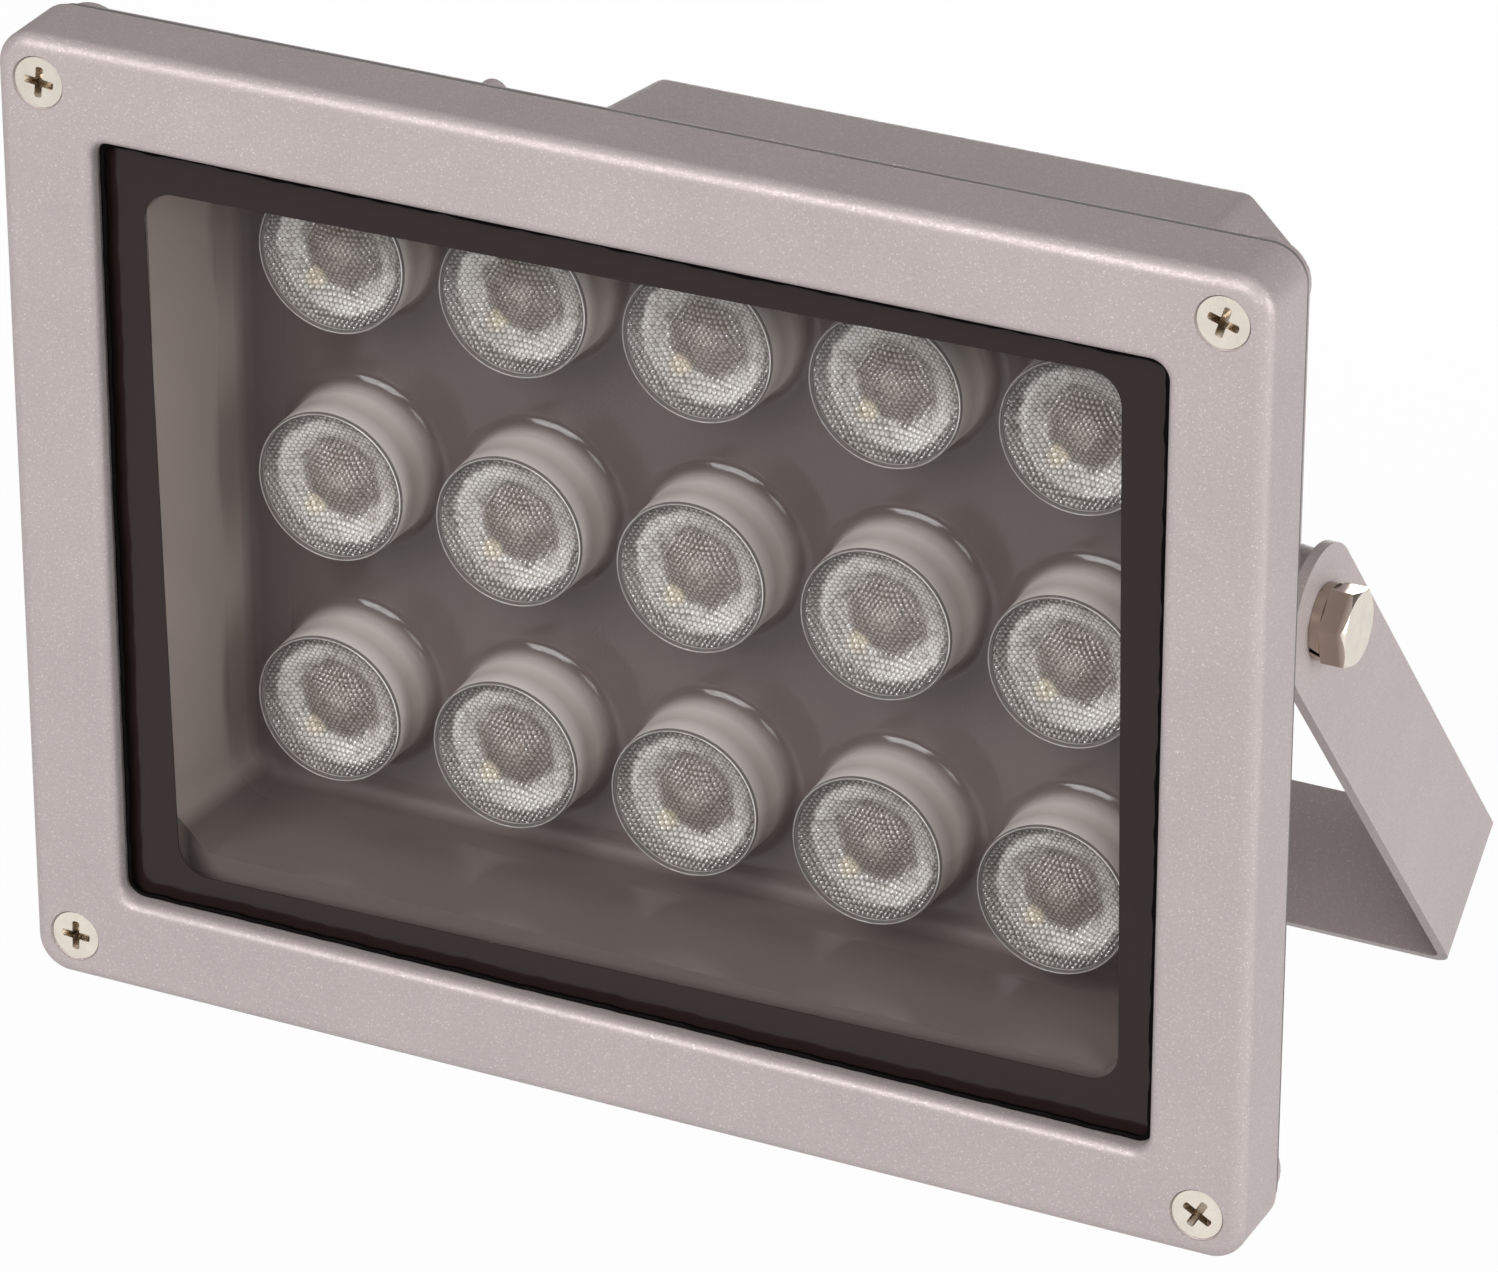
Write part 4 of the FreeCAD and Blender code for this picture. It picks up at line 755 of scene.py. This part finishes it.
class LAMP_OT_lenses(bpy.types.Operator):
    """Build the beaded lenses and finish the emitters."""

    bl_idname = "lamp.lenses"
    bl_label = "Beaded lenses"

    CAP_RADIUS = 0.0105
    CAP_BOWL = ((0.0, 0.0), (0.0110, 0.0))
    CAP_PROFILE = ((0.01066, 0.00006), (0.01072, 0.0002), (0.01072, 0.0006), (0.0060, 0.0006), (0.00002, 0.0006))
    CAP_LIFT = 0.0007
    CORE_RADIUS = 0.01035
    CORE_BOWL = ((0.0, 0.0017), (0.0022, 0.0019), (0.0054, 0.0030), (0.0080, 0.0016), (0.01035, 0.00088))
    CORE_PROFILE = ((0.01035, 0.0013), (0.0100, 0.0040), (0.0070, 0.0060), (0.0030, 0.0062), (0.00002, 0.0062))

    EDGE_RING = (0.01074, 0.00009, 0.00030)

    def body(self, name, radius, bowl, profile, bead_height):
        """One lens body, as an object that the rows copy."""
        cell = linked("bead_cell", bead_cell_mesh(settings().bead_pitch, bead_height))
        patch = linked("bead_sheet", bpy.data.meshes.new("bead_sheet"))
        sheet = modified(patch, bead_sheet_group(), Bead_Cell=cell, Bead_Pitch=settings().bead_pitch,
                         Patch_Radius=radius + settings().bead_pitch * 0.6)
        bpy.data.objects.remove(cell)
        return linked(name, lens_mesh(sheet, radius, bowl, profile))

    def execute(self, context):
        height = settings().bead_height
        cap = self.body("lens_cap", self.CAP_RADIUS, self.CAP_BOWL, self.CAP_PROFILE, height * 0.7)
        core = self.body("lens_core", self.CORE_RADIUS, self.CORE_BOWL, self.CORE_PROFILE, height * 1.3)
        edge = linked("lens_edge", ring_mesh(*self.EDGE_RING))
        row_group = lens_row_group()
        finishes = (cap_plastic("lens_cap"), core_plastic("lens_core"), polished_edge("lens_edge"))
        for part, finish in zip((cap, core, edge), finishes):
            for row in range(LENS_ROWS):
                names = LENS_NODES[row * LENS_COLUMNS:(row + 1) * LENS_COLUMNS]
                centres = []
                for name in names:
                    low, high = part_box(name)
                    centres.append(((low[0] + high[0]) / 2, low[1] - self.CAP_LIFT, (low[2] + high[2]) / 2))
                points = bpy.data.meshes.new("lens_points")
                points.from_pydata(centres, [], [])
                holder = linked(f"{part.name}_row_{row + 1}", points)
                mesh = modified(holder, row_group, Lens=part, Material=finish)
                piece = mesh_piece(f"{part.name}_row_{row + 1}", mesh, finish, "head")
                if part is cap:
                    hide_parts(*names)
            bpy.data.objects.remove(part)
        paint_nodes(moulding("emitter", (0.80, 0.55, 0.12), 0.25), *LED_NODES)
        return {"FINISHED"}


def tray_plastic(name, floor_depth, middle_height):
    """Glossy dark floor, walls and light satin sockets, told apart by where they are. Painted light makes the lower
    floor and the front of the level walls lighter and the upright walls lighter still; the sockets' sides carry bands
    of painted reflection and painted shade towards their feet.
    """
    shader = Shader(name)
    place = shader.place()
    axes = shader.add("ShaderNodeSeparateXYZ")
    shader.link(place, axes.inputs[0])
    raised = shader.spread(axes.outputs["Y"], floor_depth - 0.0004, floor_depth - 0.0022, 0.0, 1.0)
    across = shader.math("ABSOLUTE", axes.outputs["X"], 0.0)
    along = shader.math("ABSOLUTE", shader.math("SUBTRACT", axes.outputs["Z"], middle_height), 0.0)
    inside = shader.math("MULTIPLY", shader.spread(across, 0.0662, 0.0668, 1.0, 0.0),
                         shader.spread(along, 0.0472, 0.0478, 1.0, 0.0))
    on_socket = shader.math("MULTIPLY", raised, inside)
    on_rim = shader.spread(axes.outputs["Y"], floor_depth - 0.00955, floor_depth - 0.00965, 0.0, 1.0)
    cloud = shader.noise(place, 70, 3.0)
    floor = shader.ramp(cloud, [(0.3, (0.096, 0.074, 0.071)), (0.7, (0.109, 0.085, 0.080))])
    # Painted light: the floor grows lighter towards its lower part.
    lower_floor_light = shader.spread(axes.outputs["Z"], middle_height - 0.045, middle_height - 0.010, 1.45, 1.0)
    floor = shader.mix(1.0, floor, lower_floor_light, "MULTIPLY")
    # Painted light: the level walls grow lighter from the floor towards the front.
    depth = shader.add("ShaderNodeMapRange", interpolation_type="SMOOTHSTEP")
    for socket, number in zip(depth.inputs[1:5], (floor_depth - 0.0080, floor_depth - 0.0145, 0.0, 1.0)):
        socket.default_value = number
    shader.link(axes.outputs["Y"], depth.inputs[0])
    level_wall_front_light = shader.mix(depth.outputs[0], floor, (0.17, 0.14, 0.13))
    # Painted light: the upright walls take a lighter colour than the level walls.
    upright_wall = shader.spread(across, 0.0700, 0.0718, 0.0, 1.0)
    wall = shader.mix(upright_wall, level_wall_front_light, (0.46, 0.385, 0.35))
    surface = shader.mix(raised, floor, wall)
    # Painted reflections and painted shade in bands along each socket's side, darkest at its foot.
    length = shader.spread(axes.outputs["Y"], floor_depth - 0.0096, floor_depth, 0.0, 1.0)
    side = shader.ramp(length, [(0.0, (0.90, 0.85, 0.82)), (0.32, (0.62, 0.56, 0.52)), (0.62, (0.80, 0.74, 0.70)),
                                (0.86, (0.52, 0.47, 0.44)), (0.97, (0.20, 0.17, 0.16))])
    socket = shader.mix(shader.math("MULTIPLY", on_rim, inside), side, (0.17, 0.15, 0.145))
    shader.link(shader.mix(on_socket, surface, socket), shader.surface.inputs["Base Color"])
    near_fold = shader.spread(axes.outputs["Y"], floor_depth - 0.0045, floor_depth - 0.0075, 0.45, 0.0)
    fold = shader.math("MULTIPLY", near_fold, shader.math("SUBTRACT", 1.0, inside))
    rough = shader.math("ADD", shader.spread(on_socket, 0.0, 1.0, 0.12, 0.32), fold)
    shader.link(rough, shader.surface.inputs["Roughness"])
    shader.bump(shader.noise(place, 120, 1.0), 0.03, 0.0004)
    return shader.material


def flange_mesh(inner, outer, height, corner, front, thick):
    """Flat frame with square corners outside and slanted corners inside, in the XZ plane."""
    def outline(half_w, half_h, cut):
        points = ((1, 1), (-1, 1), (-1, -1), (1, -1))
        ring = []
        for index, (side, level) in enumerate(points):
            ends = [(side * (half_w - cut), level * half_h), (side * half_w, level * (half_h - cut))]
            ring += ends if index % 2 else ends[::-1]
        return ring
    verts = []
    for x, z in outline(*inner, corner) + outline(*outer, corner):
        verts.append((x, front, height + z))
        verts.append((x, front + thick, height + z))
    faces = []
    for step in range(8):
        after = (step + 1) % 8
        a, b, c, d = 2 * step, 2 * after, 16 + 2 * after, 16 + 2 * step
        faces += [(a, b, c, d), (a + 1, d + 1, c + 1, b + 1), (a, a + 1, b + 1, b), (d, c, c + 1, d + 1)]
    data = bpy.data.meshes.new("tray_flange")
    data.from_pydata(verts, [], faces)
    return data


class LAMP_OT_inside(bpy.types.Operator):
    """Finish the tray, the boards and the driver's parts."""

    bl_idname = "lamp.inside"
    bl_label = "Tray, boards and driver"

    def execute(self, context):
        low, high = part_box(LENS_NODES[7])
        rim_to_floor = 0.00965
        middle = (low[2] + high[2]) / 2
        grey = tray_plastic("tray_grey", low[1] + rim_to_floor, middle)
        paint_nodes(grey, "lens_tray")
        tray_low, tray_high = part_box("lens_tray")
        half_w, half_h = (tray_high[0] - tray_low[0]) / 2, (tray_high[2] - tray_low[2]) / 2
        flange = flange_mesh((half_w - 0.0013, half_h - 0.0013), (half_w + 0.0006, half_h + 0.0038), middle,
                             0.006, tray_low[1] - 0.0002, 0.0003)
        mesh_piece("tray_flange", flange, grey, "head")
        paint_nodes(moulding("white_mask", (0.70, 0.70, 0.68), 0.4), "led_board")
        paint_nodes(moulding("green_mask", (0.03, 0.16, 0.07), 0.35), "driver_board")
        paint_nodes(moulding("ferrite", (0.05, 0.05, 0.052), 0.7), "driver_transformer", "driver_inductor")
        paint_nodes(moulding("can_sleeve", (0.02, 0.02, 0.03), 0.3), "driver_capacitor")
        paint_nodes(moulding("terminal_green", (0.04, 0.24, 0.11), 0.5), "terminal_block")
        paint_nodes(moulding("gland_nylon", (0.018, 0.018, 0.018), 0.45), "cable_gland", "gland_nut")
        return {"FINISHED"}


def area_light(name, place, target, size, watts):
    """Square soft light that faces a point."""
    data = bpy.data.lights.new(name, "AREA")
    data.size = size
    data.energy = watts
    light = bpy.data.objects.new(name, data)
    bpy.context.scene.collection.objects.link(light)
    light.location = place
    light.rotation_euler = (Vector(target) - Vector(place)).to_track_quat("-Z", "Y").to_euler()
    return light


def background_world(strength):
    """World that is white behind the object and a plain level on it."""
    world = bpy.data.worlds.new("studio")
    bpy.context.scene.world = world
    world.use_nodes = True
    nodes, links = world.node_tree.nodes, world.node_tree.links
    nodes.clear()
    path = nodes.new("ShaderNodeLightPath")
    sight = nodes.new("ShaderNodeMath")
    sight.operation = "MAXIMUM"
    links.new(path.outputs["Is Camera Ray"], sight.inputs[0])
    links.new(path.outputs["Is Transmission Ray"], sight.inputs[1])
    level = nodes.new("ShaderNodeMapRange")
    level.inputs[3].default_value = strength
    level.inputs[4].default_value = 1.0
    links.new(sight.outputs[0], level.inputs[0])
    back = nodes.new("ShaderNodeBackground")
    back.inputs["Color"].default_value = (1, 1, 1, 1)
    links.new(level.outputs[0], back.inputs["Strength"])
    links.new(back.outputs[0], nodes.new("ShaderNodeOutputWorld").inputs[0])


def floor_material():
    """Pale floor that shows white to the camera and still takes the object's shadow."""
    material = bpy.data.materials.new("studio_floor")
    material.use_nodes = True
    nodes, links = material.node_tree.nodes, material.node_tree.links
    surface = nodes["Principled BSDF"]
    surface.inputs["Base Color"].default_value = (0.68, 0.68, 0.68, 1)
    surface.inputs["Roughness"].default_value = 0.8
    path = nodes.new("ShaderNodeLightPath")
    sight = nodes.new("ShaderNodeMath")
    sight.operation = "MAXIMUM"
    links.new(path.outputs["Is Camera Ray"], sight.inputs[0])
    links.new(path.outputs["Is Transmission Ray"], sight.inputs[1])
    share = nodes.new("ShaderNodeMath")
    share.operation = "MULTIPLY"
    share.inputs[1].default_value = 0.97
    links.new(sight.outputs[0], share.inputs[0])
    gloss = nodes.new("ShaderNodeMath")
    gloss.operation = "MULTIPLY"
    gloss.inputs[1].default_value = 0.7
    links.new(path.outputs["Is Glossy Ray"], gloss.inputs[0])
    seen = nodes.new("ShaderNodeMath")
    seen.operation = "MAXIMUM"
    links.new(share.outputs[0], seen.inputs[0])
    links.new(gloss.outputs[0], seen.inputs[1])
    white = nodes.new("ShaderNodeEmission")
    white.inputs["Color"].default_value = (1, 1, 1, 1)
    white.inputs["Strength"].default_value = 1.0
    blend = nodes.new("ShaderNodeMixShader")
    links.new(seen.outputs[0], blend.inputs[0])
    links.new(surface.outputs[0], blend.inputs[1])
    links.new(white.outputs[0], blend.inputs[2])
    links.new(blend.outputs[0], nodes["Material Output"].inputs["Surface"])
    return material


class LAMP_OT_stage(bpy.types.Operator):
    """Set up the floor, the world, the lights and the camera."""

    bl_idname = "lamp.stage"
    bl_label = "Studio stage"

    FLOOR_SIZE = 12.0
    WORLD_STRENGTH = 0.11
    LIGHTS = (
        ("key", (-0.35, -1.32, 0.90), 0.9, 19.0),
        ("fill", (0.75, -1.2, 0.75), 0.5, 3.0),
        ("side", (1.6, -0.15, 0.35), 1.1, 17.0),
        ("top", (0.25, -0.3, 1.5), 0.9, 2.5),
        ("back", (-0.6, 1.5, -0.1), 0.6, 5.0),
    )

    def execute(self, context):
        low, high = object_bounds()
        centre = (low + high) / 2
        mesh = bpy.data.meshes.new("floor")
        half = self.FLOOR_SIZE / 2
        level = low.z - settings().floor_drop
        mesh.from_pydata([(-half, -half, level), (half, -half, level), (half, half, level), (-half, half, level)],
                         [], [(0, 1, 2, 3)])
        floor = bpy.data.objects.new("floor", mesh)
        context.scene.collection.objects.link(floor)
        mesh.materials.append(floor_material())
        floor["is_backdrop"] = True
        background_world(self.WORLD_STRENGTH)
        for name, place, size, watts in self.LIGHTS:
            area_light(name, place, centre, size, watts)
        data = bpy.data.cameras.new("camera")
        data.lens = CAMERA_LENS
        data.sensor_width = SENSOR_WIDTH
        data.clip_start = 0.01
        data.clip_end = 50
        camera = bpy.data.objects.new("camera", data)
        context.scene.collection.objects.link(camera)
        camera.location = CAMERA_PLACE
        camera.rotation_euler = Euler([math.radians(angle) for angle in CAMERA_TURN], "XYZ")
        context.scene.camera = camera
        context.scene.view_settings.view_transform = "Standard"
        return {"FINISHED"}


class LAMP_PT_panel(bpy.types.Panel):
    """Buttons for the lamp's dressing."""

    bl_idname = "LAMP_PT_panel"
    bl_label = "Infrared lamp"
    bl_space_type = "VIEW_3D"
    bl_region_type = "UI"
    bl_category = "Lamp"

    def draw(self, context):
        for name in LampSettings.__annotations__:
            self.layout.prop(context.scene.lamp_settings, name)
        for operator in OPERATORS:
            self.layout.operator(operator.bl_idname)


OPERATORS = (LAMP_OT_castings, LAMP_OT_hardware, LAMP_OT_glass_front, LAMP_OT_lenses, LAMP_OT_inside, LAMP_OT_stage)
CLASSES = (LampSettings, *OPERATORS, LAMP_PT_panel)


def register():
    """Registers the classes and the scene's settings."""
    for item in CLASSES:
        bpy.utils.register_class(item)
    bpy.types.Scene.lamp_settings = bpy.props.PointerProperty(type=LampSettings)


def unregister():
    """Removes the settings and the classes."""
    del bpy.types.Scene.lamp_settings
    for item in reversed(CLASSES):
        bpy.utils.unregister_class(item)


def main():
    """Runs every step."""
    register()
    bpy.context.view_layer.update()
    for step in (bpy.ops.lamp.castings, bpy.ops.lamp.hardware, bpy.ops.lamp.glass_front, bpy.ops.lamp.lenses,
                 bpy.ops.lamp.inside, bpy.ops.lamp.stage):
        require("FINISHED" in step(), "a step did not finish")


if __name__ == "__main__":
    main()
